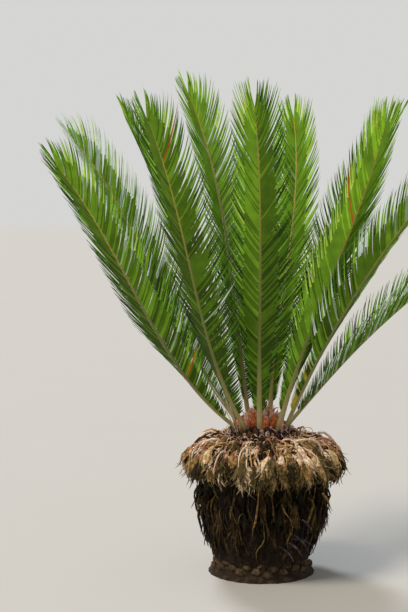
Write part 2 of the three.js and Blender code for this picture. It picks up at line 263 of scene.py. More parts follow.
def new_tree(name, inputs):
    """An empty Geometry Nodes tree with one geometry in and out and the named inputs:
    name: (kind of socket, default)."""
    tree = bpy.data.node_groups.new(name, "GeometryNodeTree")
    tree.interface.new_socket("Geometry", in_out="INPUT", socket_type="NodeSocketGeometry")
    tree.interface.new_socket("Geometry", in_out="OUTPUT", socket_type="NodeSocketGeometry")
    for title, (kind, default) in inputs.items():
        socket = tree.interface.new_socket(title, in_out="INPUT", socket_type="NodeSocket" + kind)
        if default is not None:
            socket.default_value = default
    return tree


def grown(name, carrier, tree, values):
    """The plain mesh that the tree grows on the carrier object, as a piece of its own."""
    modifier = carrier.modifiers.new(tree.name, "NODES")
    modifier.node_group = tree
    sockets = {
        item.name: item.identifier
        for item in tree.interface.items_tree if item.in_out == "INPUT"
    }
    for title, value in values.items():
        modifier[sockets[title]] = value
    graph = bpy.context.evaluated_depsgraph_get()
    mesh = bpy.data.meshes.new_from_object(carrier.evaluated_get(graph))
    carrier.modifiers.remove(modifier)
    mesh.name = name
    return put_in_scene(name, mesh)


def stance(frond):
    """What both of a frond's trees are told: the way that it leans out, and its blade's roll."""
    outward = Vector((frond["tip"][0], frond["tip"][1], 0.0)).normalized()
    return {"Outward": outward, "Roll": math.radians(frond["roll"])}


def frond_axes(tree, share, given):
    """Nodes that give the frond's own directions at a share of the rib: along it, towards its
    upper face and to its right."""
    forward = add(tree, "GeometryNodeInputTangent")
    outward = add(tree, "ShaderNodeVectorMath", {0: given["Outward"]}, operation="NORMALIZE")
    shadow = add(tree, "ShaderNodeVectorMath", {0: outward, 1: forward}, operation="DOT_PRODUCT")
    lengthwise = add(tree, "ShaderNodeVectorMath", {
        0: forward, "Scale": shadow.outputs["Value"],
    }, operation="SCALE")
    level = add(tree, "ShaderNodeVectorMath", {0: lengthwise, 1: outward}, operation="SUBTRACT")
    level = add(tree, "ShaderNodeVectorMath", {0: level}, operation="NORMALIZE")
    roll = add(tree, "ShaderNodeMapRange", {
        "Value": share, "From Max": ROLL_END, "To Max": given["Roll"],
    }, interpolation_type="SMOOTHSTEP")
    upper = add(tree, "ShaderNodeVectorRotate", {
        "Vector": level, "Axis": forward, "Angle": roll,
    }, rotation_type="AXIS_ANGLE")
    side = add(tree, "ShaderNodeVectorMath", {0: upper, 1: forward}, operation="CROSS_PRODUCT")
    return forward, upper, side


def set_stops(ramp, stops):
    """Gives a colour ramp its stops: (position, sRGB colour)."""
    elements = ramp.color_ramp.elements
    while len(elements) < len(stops):
        elements.new(0.5)
    for element, (position, code) in zip(elements, stops):
        element.position = position
        element.color = linear(code)


def rib_wood():
    """Rib wood: the living rind of the rib, tan at the foot, olive further up and golden at the
    tip, streaked and faintly waxy. Its real streaks are too fine to show, so these are coarser."""
    material, tree = new_material("waxy rib rind")
    share = add(tree, "ShaderNodeAttribute", attribute_name="share").outputs["Fac"]
    along = add(tree, "ShaderNodeValToRGB", {"Fac": share})
    set_stops(along, RIB_COLOURS)
    place = add(tree, "ShaderNodeTexCoord").outputs["Object"]
    streak = add(tree, "ShaderNodeTexNoise", {"Vector": place, "Scale": 1 / RIB_STREAK, "Detail": 4.0})
    darker = add(tree, "ShaderNodeMapRange", {
        "Value": streak.outputs["Fac"], "To Min": 0.72, "To Max": 1.25,
    })
    colour = add(tree, "ShaderNodeVectorMath", {0: along, "Scale": darker}, operation="SCALE")
    bump = add(tree, "ShaderNodeBump", {
        "Height": streak.outputs["Fac"], "Strength": 0.5, "Distance": 0.6 * MM,
    })
    shader = add(tree, "ShaderNodeBsdfPrincipled", {
        "Base Color": colour, "Roughness": 0.42, "Normal": bump, "Specular IOR Level": 0.5,
    })
    add(tree, "ShaderNodeOutputMaterial", {"Surface": shader})
    return material


def rib_tree():
    """Sweeps a flattened round section along the rib's line, which tapers towards the tip."""
    tree = new_tree("rib", {
        "Outward": ("Vector", (1.0, 0.0, 0.0)),
        "Roll": ("Float", 0.0),
        "Base half width": ("Float", RIB_HALF_WIDTHS["base"]),
        "Middle half width": ("Float", RIB_HALF_WIDTHS["middle"]),
        "Tip half width": ("Float", RIB_HALF_WIDTHS["tip"]),
    })
    given = add(tree, "NodeGroupInput").outputs
    line = add(tree, "GeometryNodeResampleCurve", {"Curve": given["Geometry"], "Count": RIB_STEPS})
    share = add(tree, "GeometryNodeSplineParameter").outputs["Factor"]
    _, upper, _ = frond_axes(tree, share, given)
    line = add(tree, "GeometryNodeSetCurveNormal", {
        "Curve": line, "Normal": upper,
    }, mode="FREE")
    lower_part = add(tree, "ShaderNodeMapRange", {
        "Value": share, "From Max": RIB_MIDDLE,
        "To Min": given["Base half width"], "To Max": given["Middle half width"],
    }, interpolation_type="SMOOTHERSTEP")
    upper_part = add(tree, "ShaderNodeMapRange", {
        "Value": share, "From Min": RIB_MIDDLE,
        "To Min": given["Middle half width"], "To Max": given["Tip half width"],
    })
    beyond = add(tree, "FunctionNodeCompare", {"A": share, "B": RIB_MIDDLE}, operation="GREATER_THAN")
    half = add(tree, "GeometryNodeSwitch", {
        "Switch": beyond, "False": lower_part, "True": upper_part,
    }, input_type="FLOAT")
    line = add(tree, "GeometryNodeStoreNamedAttribute", {
        "Geometry": line, "Name": "share", "Value": share,
    }, domain="POINT")
    section = add(tree, "GeometryNodeCurvePrimitiveCircle", {"Resolution": RIB_SIDES, "Radius": 1.0})
    section = add(tree, "GeometryNodeTransform", {
        "Geometry": section, "Scale": (RIB_FLATNESS, 1.0, 1.0),
    })
    mesh = add(tree, "GeometryNodeCurveToMesh", {
        "Curve": line, "Profile Curve": section, "Scale": half, "Fill Caps": True,
    })
    whole = add(tree, "GeometryNodeRealizeInstances", {"Geometry": mesh})
    whole = add(tree, "GeometryNodeSetMaterial", {"Geometry": whole, "Material": rib_wood()})
    add(tree, "NodeGroupOutput", {"Geometry": whole})
    return tree


ribs = rib_tree()
rib_lines = []
rib_pieces = []
for number, frond in enumerate(FRONDS, start=1):
    line = rib_curve(f"rib_line_{number:02d}", frond)
    rib = grown(f"frond_rib_{number:02d}", line, ribs, stance(frond))
    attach(rib, "root")
    rib_lines.append(line)
    rib_pieces.append(rib)


# Leaflets.
# Stiff narrow blades in two close ranks along each rib, with rolled edges, a glossy upper face
# and a duller lower one. They stand up from the rib in a V, shortest at its foot and tip.
LEAFLET_PAIRS = 138
LEAFLET_LENGTH = 202 * MM
LEAFLET_WIDTH = 8.2 * MM
LEAFLET_KEEL_DEPTH = 2.2 * MM
LEAFLET_SLOPE = 0.5
LEAFLET_STATIONS = (0.0, 0.05, 0.25, 0.45, 0.62, 0.78, 0.91)
TIP_START = 0.48
SHORTEST_LEAFLET = 12 * MM
LIMB_CLEARANCE = 7 * MM
LIMB_SEARCH_FROM = 20 * MM
# Shares of the blade, from the petiole's end to the tip: the leaflets lengthen from the first
# to the second and shorten again from the third on. From the fourth on they close up.
LENGTHENING_FROM = -0.13
FULL_LENGTH_FROM = 0.4
SHORTENING_FROM = 0.88
CLOSING_FROM = 0.84
END_LENGTH = 0.55
CLOSED = 0.4
# At the blade's foot and at its tip: how far the leaflets lean out from the rib and stand up
# from the blade, in degrees, and the share of the rib's half width at which they are rooted.
LEAN_ANGLES = (60.0, 24.0)
KEEL_ANGLES = (32.0, 16.0)
ROOT_DEPTHS = (0.6, 0.8)
UPTURN = 0.3
BLADE_PITCH = -14.0
BULGE = 0.034
DROOP = 0.05
# How one leaflet differs from the next: its lean and its pitch in radians, and factors of its
# length, breadth, droop and bulge.
LEAN_RANGE = (-0.04, 0.04)
PITCH_RANGE = 0.15
LENGTH_RANGE = (0.93, 1.03)
BREADTH_RANGE = (0.88, 1.1)
DROOP_RANGE = (-1.6, 0.4)
BULGE_RANGE = (2.6, 5.4)
# How far to each side of its place on the blade a withered leaflet is looked for, and the factors
# of the yellowed share that decide whether a leaflet near its end is yellow.
WITHERED_REACH = 0.6 / LEAFLET_PAIRS
YELLOWED_RANGE = (0.0, 1.3)
# Leaf colours from sunlit to deep green, for the faces of the inner and the outer half: painted light and
# shade, which each half of a frond is dealt as the light falls on it. The outer half's are brighter, a
# painted glow of light through the tips. After them come the tones of a yellowed, a withered and a leaflet
# with a painted sheen.
TONES = ["92c436", "729e28", "54781c", "3a5312"]
UNDER_TONES = ["94c62c", "729e24", "567818", "3b5310"]
PAINTED_GLOW_TIP_TONES = ["bee058", "88ba34", "568220", "304c12"]
YELLOWED = "b8a83c"
WITHERED = "b8691f"
# Pale base colours painted in as a reflection of the sky on glossy leaflets, whose skins are also glossier
# than the rest.
PAINTED_SHEEN = {"upper": "a4bcb0", "under": "90b07c", "tip": "d4e4d8"}
YELLOWED_TONE = len(TONES)
WITHERED_TONE = len(TONES) + 1
PAINTED_SHEEN_TONE = len(TONES) + 2
# The kinds of a leaflet's faces, each with its greens and its roughness.
UPPER_FACE, UNDER_FACE, TIP_FACE = range(3)
LEAF_FACES = (("upper", TONES, 0.5), ("under", UNDER_TONES, 0.6), ("tip", PAINTED_GLOW_TIP_TONES, 0.55))
# How widely the tones are dealt at the blade's foot and from SPREAD_END on, and the share of the leaflets
# with a painted sheen that have it there too, for a leaflet's inner and its outer half.
INNER_HALF = {"foot": 1.25, "tip": 0.5, "painted_sheen": 0.4}
OUTER_HALF = {"foot": 1.3, "tip": 1.2, "painted_sheen": 1.0}
SPREAD_END = 0.6
RANKS = (("Right", 1.0), ("Left", -1.0))
NO_LEAFLET = -1.0
LEAF_PATCH = 41.7 * MM
LEAF_GRAIN = 2.38 * MM
# A skin's number is the kind of its face times this, and its tone.
KIND_STEP = 100
# Each frond's leaflet tones on its right and left, from 0, sunlit, to 3, deep green, which paint in the
# light and shade that falls on each half; how much deeper they are at its foot, painted shade; and the
# share of leaflets with a painted reflection of the sky. Some have a share of the blade, from its foot,
# that has yellowed, or a withered leaflet at a place on the right or the left.
FOLIAGE = [
    {"tone": (1.0, 1.9), "foot_shade": 1.5, "painted_sheen": (0.06, 0.12), "withered": (0.2, NO_LEAFLET)},
    {"tone": (1.1, 1.7), "foot_shade": 2.3, "painted_sheen": (0.02, 0.0), "withered": (0.86, 0.14)},
    {"tone": (1.35, 0.75), "foot_shade": 1.7, "painted_sheen": (0.0, 0.02)},
    {"tone": (0.9, 0.3), "foot_shade": 1.5, "painted_sheen": (0.05, 0.0), "withered": (NO_LEAFLET, 0.66)},
    {"tone": (1.3, 1.1), "foot_shade": 1.6, "painted_sheen": (0.05, 0.3), "yellowed": 0.14},
    {"tone": (1.5, 1.1), "foot_shade": 1.5, "painted_sheen": (0.1, 0.45)},
    {"tone": (1.9, 1.6), "foot_shade": 1.5, "painted_sheen": (0.2, 0.2)},
    {"tone": (1.0, 0.9), "foot_shade": 1.5, "painted_sheen": (0.08, 0.0)},
    {"tone": (1.7, 1.7), "foot_shade": 1.5, "painted_sheen": (0.1, 0.1)},
    {"tone": (0.6, 0.8), "foot_shade": 1.5, "painted_sheen": (0.04, 0.03)},
    {"tone": (0.7, 1.1), "foot_shade": 1.2, "painted_sheen": (0.9, 0.7)},
    {"tone": (1.1, 1.2), "foot_shade": 1.5, "painted_sheen": (0.1, 0.03)},
]


def leaf_skin(name, code, roughness, shine):
    """Leaf skin: a waxy living skin, mottled a little along and across the blades. Its real
    grain is too fine to show, so a coarser one breaks up the gloss."""
    material, tree = new_material(name)
    place = add(tree, "ShaderNodeTexCoord").outputs["Object"]
    patches = add(tree, "ShaderNodeTexNoise", {"Vector": place, "Scale": 1 / LEAF_PATCH, "Detail": 3.0})
    grain = add(tree, "ShaderNodeTexNoise", {"Vector": place, "Scale": 1 / LEAF_GRAIN, "Detail": 2.0})
    lightness = add(tree, "ShaderNodeMapRange", {
        "Value": patches.outputs["Fac"], "From Min": 0.3, "From Max": 0.7, "To Min": 0.8, "To Max": 1.2,
    })
    colour = add(tree, "ShaderNodeVectorMath", {
        0: linear(code)[:3], "Scale": lightness,
    }, operation="SCALE")
    gloss = add(tree, "ShaderNodeMapRange", {
        "Value": grain.outputs["Fac"], "To Min": roughness - 0.08, "To Max": roughness + 0.08,
    })
    bump = add(tree, "ShaderNodeBump", {
        "Height": grain.outputs["Fac"], "Strength": 0.3, "Distance": 0.3 * MM,
    })
    shader = add(tree, "ShaderNodeBsdfPrincipled", {
        "Base Color": colour, "Roughness": gloss, "Normal": bump, "Specular IOR Level": shine,
    })
    add(tree, "ShaderNodeOutputMaterial", {"Surface": shader})
    return material


def skinned(name, rings, tip, faces):
    """A closed mesh through rings of points that ends in a point, with an attribute for how far
    along it each vertex is and one for the kind of each face; faces gives a strip's kind."""
    form = bmesh.new()
    share = form.verts.layers.float.new("along")
    kind = form.faces.layers.int.new("kind")
    rows = []
    for along, ring in rings:
        row = [form.verts.new(point) for point in ring]
        for vertex in row:
            vertex[share] = along
        rows.append(row)
    end = form.verts.new(tip)
    end[share] = 1.0
    size = len(rows[0])
    form.faces.new(list(reversed(rows[0])))[kind] = faces[0]
    for strip in range(size):
        following = (strip + 1) % size
        for low, high in zip(rows, rows[1:]):
            face = form.faces.new((low[strip], low[following], high[following], high[strip]))
            face[kind] = faces[strip]
        form.faces.new((rows[-1][strip], rows[-1][following], end))[kind] = faces[strip]
    return as_mesh(name, form)


def leaflet_blade():
    """One leaflet along +X, one unit long, its upper face up. Its four strips are the two
    halves of the upper face, which slope down to the rolled edges, and the two of the lower. It
    widens over its first tenth and then tapers to its tip."""
    rings = []
    for along in LEAFLET_STATIONS:
        half = LEAFLET_WIDTH / 2 * min(1.0, 0.6 + 4 * along) * (1 - along ** 1.8)
        rings.append((along, [
            (along, half, -half * LEAFLET_SLOPE),
            (along, 0.0, 0.0),
            (along, -half, -half * LEAFLET_SLOPE),
            (along, 0.0, -LEAFLET_KEEL_DEPTH),
        ]))
    faces = [UPPER_FACE, UPPER_FACE, UNDER_FACE, UNDER_FACE]
    mesh = skinned("leaflet", rings, (1.0, 0.0, -LEAFLET_KEEL_DEPTH / 2), faces)
    kinds = mesh.attributes["kind"].data
    for polygon in mesh.polygons:
        if polygon.center.x > TIP_START:
            kinds[polygon.index].value = TIP_FACE
    return bpy.data.objects.new("leaflet", mesh)


def dealt(tree, given, salt, low, high):
    """A random number from low to high for each point, another one for each salt."""
    seed = add(tree, "ShaderNodeMath", {0: given["Seed"], 1: float(salt)}, operation="ADD")
    return add(tree, "FunctionNodeRandomValue", {2: low, 3: high, "Seed": seed}).outputs[1]


def blade_points(tree, given):
    """A point on the rib for each pair of leaflets, with the frond's way forward and its right
    there, and the point's share of the blade."""
    line = add(tree, "GeometryNodeTrimCurve", {"Curve": given["Geometry"], "Start": PETIOLE_SHARE})
    line = add(tree, "GeometryNodeResampleCurve", {"Curve": line, "Count": given["Pairs"]})
    share = add(tree, "GeometryNodeSplineParameter").outputs["Factor"]
    rib_share = add(tree, "ShaderNodeMapRange", {"Value": share, "To Min": PETIOLE_SHARE})
    forward, _, side = frond_axes(tree, rib_share, given)
    told = (
        ("forward", forward, "FLOAT_VECTOR"), ("side", side, "FLOAT_VECTOR"),
        ("blade_share", share, "FLOAT"),
    )
    for name, value, kind in told:
        line = add(tree, "GeometryNodeStoreNamedAttribute", {
            "Geometry": line, "Name": name, "Value": value,
        }, data_type=kind, domain="POINT")
    points = add(tree, "GeometryNodeCurveToPoints", {"Curve": line}, mode="EVALUATED")
    return [points] + [
        add(tree, "GeometryNodeInputNamedAttribute", {"Name": name}, data_type=kind)
        for name, _, kind in told
    ]


def blade_rule(tree, given, share):
    """How leaflets change along the blade: their length, their lean out from the rib, how far
    they stand up from the blade, and how far out from the rib's line they are rooted."""
    swell = add(tree, "ShaderNodeMapRange", {
        "Value": share, "From Min": LENGTHENING_FROM, "From Max": FULL_LENGTH_FROM,
    }, interpolation_type="SMOOTHSTEP")
    shrink = add(tree, "ShaderNodeMapRange", {
        "Value": share, "From Min": SHORTENING_FROM, "To Min": 1.0, "To Max": END_LENGTH,
    }, interpolation_type="SMOOTHSTEP")
    swelling = add(tree, "ShaderNodeMath", {0: swell, 1: shrink}, operation="MULTIPLY")
    length = add(tree, "ShaderNodeMath", {0: swelling, 1: given["Length"]}, operation="MULTIPLY")
    lean, keel = [
        add(tree, "ShaderNodeMapRange", {
            "Value": share, "To Min": math.radians(foot), "To Max": math.radians(tip),
        })
        for foot, tip in (LEAN_ANGLES, KEEL_ANGLES)
    ]
    closing = add(tree, "ShaderNodeMapRange", {
        "Value": share, "From Min": CLOSING_FROM, "To Min": 1.0, "To Max": CLOSED,
    }, interpolation_type="SMOOTHSTEP")
    lean = add(tree, "ShaderNodeMath", {0: lean, 1: closing}, operation="MULTIPLY")
    lean = add(tree, "ShaderNodeMath", {0: lean, 1: given["Fullness"]}, operation="MULTIPLY")
    root = add(tree, "ShaderNodeMapRange", {
        "Value": share,
        "To Min": RIB_HALF_WIDTHS["base"] * ROOT_DEPTHS[0],
        "To Max": RIB_HALF_WIDTHS["tip"] * ROOT_DEPTHS[1],
    })
    return length, lean, keel, root


def leaflet_stance(tree, given, rank, forward, side, lean, keel):
    """How the leaflets of a rank stand: the way out of the rib, the way that they point, the
    hinge that they lean about, and their rotation."""
    hand = RANKS[rank][1]
    outer = add(tree, "ShaderNodeVectorMath", {0: side, "Scale": hand}, operation="SCALE")
    turn = add(tree, "ShaderNodeMath", {0: keel, 1: hand}, operation="MULTIPLY")
    raised = add(tree, "ShaderNodeVectorRotate", {
        "Vector": outer, "Axis": forward, "Angle": turn,
    }, rotation_type="AXIS_ANGLE")
    hinge = add(tree, "ShaderNodeVectorMath", {0: forward, 1: raised}, operation="CROSS_PRODUCT")
    angle = add(tree, "ShaderNodeMath", {
        0: lean, 1: dealt(tree, given, 10 + rank, *LEAN_RANGE),
    }, operation="ADD")
    way = add(tree, "ShaderNodeVectorRotate", {
        "Vector": forward, "Axis": hinge, "Angle": angle,
    }, rotation_type="AXIS_ANGLE")
    way = add(tree, "ShaderNodeVectorMath", {0: way, 1: (0.0, 0.0, UPTURN)}, operation="ADD")
    way = add(tree, "ShaderNodeVectorMath", {0: way}, operation="NORMALIZE")
    hinge = add(tree, "ShaderNodeVectorMath", {0: forward, 1: way}, operation="CROSS_PRODUCT")
    hinge = add(tree, "ShaderNodeVectorMath", {0: hinge}, operation="NORMALIZE")
    face = add(tree, "ShaderNodeVectorMath", {0: hinge, "Scale": hand}, operation="SCALE")
    pitch = hand * math.radians(BLADE_PITCH)
    face = add(tree, "ShaderNodeVectorRotate", {
        "Vector": face, "Axis": way,
        "Angle": dealt(tree, given, 20 + rank, pitch - PITCH_RANGE, pitch + PITCH_RANGE),
    }, rotation_type="AXIS_ANGLE")
    rotation = add(tree, "FunctionNodeAxesToRotation", {
        "Primary Axis": way, "Secondary Axis": face,
    }, primary_axis="X", secondary_axis="Z")
    return outer, way, hinge, rotation


def free_length(tree, given, rank, way, whole_length, limbs):
    """The leaflets' lengths, each its own, but shorter where another frond's rib is in the way."""
    position = add(tree, "GeometryNodeInputPosition")
    ahead = add(tree, "ShaderNodeVectorMath", {0: way, "Scale": LIMB_SEARCH_FROM}, operation="SCALE")
    source = add(tree, "ShaderNodeVectorMath", {0: position, 1: ahead}, operation="ADD")
    ray = add(tree, "GeometryNodeRaycast", {
        "Target Geometry": limbs.outputs["Geometry"],
        "Source Position": source,
        "Ray Direction": way,
        "Ray Length": whole_length,
    })
    room = add(tree, "ShaderNodeMath", {
        0: ray.outputs["Hit Distance"], 1: LIMB_CLEARANCE,
    }, operation="SUBTRACT")
    full = add(tree, "ShaderNodeMath", {
        0: whole_length, 1: dealt(tree, given, 30 + rank, *LENGTH_RANGE),
    }, operation="MULTIPLY")
    return add(tree, "GeometryNodeSwitch", {
        "Switch": ray.outputs["Is Hit"], "False": full, "True": room,
    }, input_type="FLOAT")


def told_bends(tree, given, rank, leaflets, length, hinge, way):
    """Tells each leaflet how far its tip droops or rises, and how far its middle bulges out."""
    droop = add(tree, "ShaderNodeMath", {0: length, 1: given["Droop"]}, operation="MULTIPLY")
    droop = add(tree, "ShaderNodeMath", {
        0: droop, 1: dealt(tree, given, 50 + rank, *DROOP_RANGE),
    }, operation="MULTIPLY")
    bow = add(tree, "ShaderNodeCombineXYZ", {2: droop})
    bulge = add(tree, "ShaderNodeMath", {0: length, 1: given["Bulge"]}, operation="MULTIPLY")
    bulge = add(tree, "ShaderNodeMath", {
        0: bulge, 1: dealt(tree, given, 80 + rank, *BULGE_RANGE),
    }, operation="MULTIPLY")
    open_way = add(tree, "ShaderNodeVectorMath", {0: hinge, 1: way}, operation="CROSS_PRODUCT")
    bulge = add(tree, "ShaderNodeVectorMath", {0: open_way, "Scale": bulge}, operation="SCALE")
    for name, value in (("bow", bow), ("bulge", bulge)):
        leaflets = add(tree, "GeometryNodeStoreNamedAttribute", {
            "Geometry": leaflets, "Name": name, "Value": value,
        }, data_type="FLOAT_VECTOR", domain="INSTANCE")
    return leaflets


def told_tones(tree, given, rank, leaflets, share):
    """Tells each leaflet the tones of its inner and its outer half. They deepen towards the blade's foot,
    painted shade, where they are also dealt more widely; each rank's own tone paints the light or shade on
    its half."""
    hand_name = RANKS[rank][0]
    chance = dealt(tree, given, 70 + rank, 0.0, 1.0)
    yellowed_to = add(tree, "ShaderNodeMath", {
        0: given["Yellowed"], 1: dealt(tree, given, 100 + rank, *YELLOWED_RANGE),
    }, operation="MULTIPLY")
    yellowed = add(tree, "FunctionNodeCompare", {
        "A": share, "B": yellowed_to,
    }, operation="LESS_THAN")
    withered = add(tree, "FunctionNodeCompare", {
        "A": share, "B": given[hand_name + " withered"], "Epsilon": WITHERED_REACH,
    }, operation="EQUAL")
    # Painted shade: the tones deepen towards the blade's foot from each rank's own tone, which paints the
    # light or shade on that half.
    shade = add(tree, "ShaderNodeMapRange", {
        "Value": share, "To Min": given["Foot shade"], "To Max": 0.0,
    })
    shade = add(tree, "ShaderNodeMath", {0: shade, 1: given[hand_name + " tone"]}, operation="ADD")
    for name, half, salt in (("tone", INNER_HALF, 60), ("tip_tone", OUTER_HALF, 90)):
        limit = add(tree, "ShaderNodeMath", {
            0: given[hand_name + " shining"], 1: half["painted_sheen"],
        }, operation="MULTIPLY")
        painted_sheen = add(tree, "FunctionNodeCompare", {"A": chance, "B": limit}, operation="LESS_THAN")
        spread = add(tree, "ShaderNodeMapRange", {
            "Value": share, "From Max": SPREAD_END, "To Min": half["foot"], "To Max": half["tip"],
        })
        tone = add(tree, "ShaderNodeMath", {
            0: dealt(tree, given, salt + rank, -1.0, 1.0), 1: spread, 2: shade,
        }, operation="MULTIPLY_ADD")
        tone = add(tree, "ShaderNodeClamp", {"Value": tone, "Max": len(TONES) - 1.0})
        for happens, number in (
            (painted_sheen, PAINTED_SHEEN_TONE), (yellowed, YELLOWED_TONE), (withered, WITHERED_TONE),
        ):
            tone = add(tree, "GeometryNodeSwitch", {
                "Switch": happens, "False": tone, "True": float(number),
            }, input_type="FLOAT")
        tone = add(tree, "ShaderNodeMath", {0: tone}, operation="ROUND")
        leaflets = add(tree, "GeometryNodeStoreNamedAttribute", {
            "Geometry": leaflets, "Name": name, "Value": tone,
        }, domain="INSTANCE")
    return leaflets


def bent(tree, leaflets):
    """Bends the leaflets' own vertices as they were told to."""
    along = add(tree, "GeometryNodeInputNamedAttribute", {"Name": "along"})
    squared = add(tree, "ShaderNodeMath", {0: along, 1: 2.0}, operation="POWER")
    rest = add(tree, "ShaderNodeMath", {0: along, 1: squared}, operation="SUBTRACT")
    bow, bulge = [
        add(tree, "ShaderNodeVectorMath", {
            0: add(tree, "GeometryNodeInputNamedAttribute", {"Name": name}, data_type="FLOAT_VECTOR"),
            "Scale": measure,
        }, operation="SCALE")
        for name, measure in (("bow", squared), ("bulge", rest))
    ]
    offset = add(tree, "ShaderNodeVectorMath", {0: bow, 1: bulge}, operation="ADD")
    return add(tree, "GeometryNodeSetPosition", {"Geometry": leaflets, "Offset": offset})


def dressed(tree, geometry, tone, skins):
    """Gives each face the skin of its kind and tone."""
    kind = add(tree, "GeometryNodeInputNamedAttribute", {"Name": "kind"}, data_type="INT")
    number = add(tree, "ShaderNodeMath", {0: kind, 1: KIND_STEP, 2: tone}, operation="MULTIPLY_ADD")
    for skin_number, skin in skins.items():
        chosen = add(tree, "FunctionNodeCompare", {
            "A": number, "B": float(skin_number), "Epsilon": 0.5,
        }, operation="EQUAL")
        geometry = add(tree, "GeometryNodeSetMaterial", {
            "Geometry": geometry, "Selection": chosen, "Material": skin,
        })
    return geometry


def leaflet_tree(blade, limbs, skins):
    """Deals leaflets along both sides of a rib's line. The rule is the frond's own: they lean
    forward more towards the tip, and their length swells and shrinks along the blade."""
    tree = new_tree("leaflets", {
        "Outward": ("Vector", (1.0, 0.0, 0.0)),
        "Roll": ("Float", 0.0),
        "Fullness": ("Float", 1.0),
        "Pairs": ("Int", LEAFLET_PAIRS),
        "Length": ("Float", LEAFLET_LENGTH),
        "Right tone": ("Float", 1.0),
        "Left tone": ("Float", 1.0),
        "Foot shade": ("Float", 1.5),
        "Yellowed": ("Float", 0.0),
        "Right withered": ("Float", NO_LEAFLET),
        "Left withered": ("Float", NO_LEAFLET),
        "Right shining": ("Float", 0.0),
        "Left shining": ("Float", 0.0),
        "Bulge": ("Float", BULGE),
        "Droop": ("Float", DROOP),
        "Seed": ("Int", 0),
    })
    given = add(tree, "NodeGroupInput").outputs
    points, forward, side, share = blade_points(tree, given)
    whole_length, lean, keel, root = blade_rule(tree, given, share)
    blade = add(tree, "GeometryNodeObjectInfo", {"Object": blade}, transform_space="ORIGINAL")
    limbs = add(tree, "GeometryNodeObjectInfo", {"Object": limbs}, transform_space="ORIGINAL")
    ranks = []
    for rank in range(len(RANKS)):
        outer, way, hinge, rotation = leaflet_stance(tree, given, rank, forward, side, lean, keel)
        shift = add(tree, "ShaderNodeVectorMath", {0: outer, "Scale": root}, operation="SCALE")
        seated = add(tree, "GeometryNodeSetPosition", {"Geometry": points, "Offset": shift})
        length = free_length(tree, given, rank, way, whole_length, limbs)
        breadth = dealt(tree, given, 40 + rank, *BREADTH_RANGE)
        scale = add(tree, "ShaderNodeCombineXYZ", {0: length, 1: breadth, 2: breadth})
        long_enough = add(tree, "FunctionNodeCompare", {
            "A": length, "B": SHORTEST_LEAFLET,
        }, operation="GREATER_THAN")
        leaflets = add(tree, "GeometryNodeInstanceOnPoints", {
            "Points": seated,
            "Selection": long_enough,
            "Instance": blade.outputs["Geometry"],
            "Rotation": rotation,
            "Scale": scale,
        })
        leaflets = told_bends(tree, given, rank, leaflets, length, hinge, way)
        ranks.append(told_tones(tree, given, rank, leaflets, share))
    both = add(tree, "GeometryNodeJoinGeometry")
    for leaflets in reversed(ranks):
        tree.links.new(leaflets.outputs[0], both.inputs[0])
    whole = add(tree, "GeometryNodeRealizeInstances", {"Geometry": both})
    whole = bent(tree, whole)
    # The outer half takes the brighter tip tones, a painted glow of light through the tips.
    kind = add(tree, "GeometryNodeInputNamedAttribute", {"Name": "kind"}, data_type="INT")
    outer_half = add(tree, "FunctionNodeCompare", {
        "A": kind, "B": TIP_FACE - 0.5,
    }, operation="GREATER_THAN")
    tone = add(tree, "GeometryNodeSwitch", {
        "Switch": outer_half,
        "False": add(tree, "GeometryNodeInputNamedAttribute", {"Name": "tone"}),
        "True": add(tree, "GeometryNodeInputNamedAttribute", {"Name": "tip_tone"}),
    }, input_type="FLOAT")
    add(tree, "NodeGroupOutput", {"Geometry": dressed(tree, whole, tone, skins)})
    return tree


leaf_skins = {}
for kind, (face, codes, roughness) in enumerate(LEAF_FACES):
    finishes = [(f"waxy leaf skin {face} {n}", code, roughness, 0.1) for n, code in enumerate(codes)]
    finishes += [
        (f"yellowed leaf skin {face}", YELLOWED, 0.6, 0.1),
        (f"withered leaf skin {face}", WITHERED, 0.7, 0.1),
        # The painted sheen skin: a pale painted reflection on a glossier finish.
        (f"shining leaf skin {face}", PAINTED_SHEEN[face], 0.3, 0.5),
    ]
    for tone, finish in enumerate(finishes):
        leaf_skins[KIND_STEP * kind + tone] = leaf_skin(*finish)

limbs_form = bmesh.new()
for rib in rib_pieces:
    limbs_form.from_mesh(rib.data)
limbs = bpy.data.objects.new("limbs", as_mesh("limbs", limbs_form))
leaflets = leaflet_tree(leaflet_blade(), limbs, leaf_skins)
for number, (frond, leaves, line) in enumerate(zip(FRONDS, FOLIAGE, rib_lines), start=1):
    withered = leaves.get("withered", (NO_LEAFLET, NO_LEAFLET))
    foliage = grown(f"frond_leaflets_{number:02d}", line, leaflets, {
        **stance(frond),
        "Fullness": frond.get("fullness", 1.0),
        "Right tone": leaves["tone"][0],
        "Left tone": leaves["tone"][1],
        "Foot shade": leaves["foot_shade"],
        "Right shining": leaves["painted_sheen"][0],
        "Left shining": leaves["painted_sheen"][1],
        "Yellowed": leaves.get("yellowed", 0.0),
        "Right withered": withered[0],
        "Left withered": withered[1],
        "Seed": 100 * number,
    })
    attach(foliage, "root")
    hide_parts(f"frond_{number:02d}")
    bpy.data.objects.remove(line)


# Trunk.
# The palm's stout stem: a pithy core armoured all over with the stubs of old leaf bases, which
# stand in the spiral that the fronds grew in. It is weathered grey-brown and flares at the ground.
TRUNK_FOOT_RADIUS = 150 * MM
ROOT_FLARE = 38 * MM
ROOT_FLARE_HEIGHT = 32 * MM
GOLDEN_ANGLE = 137.5
TRUNK_RINGS = 40
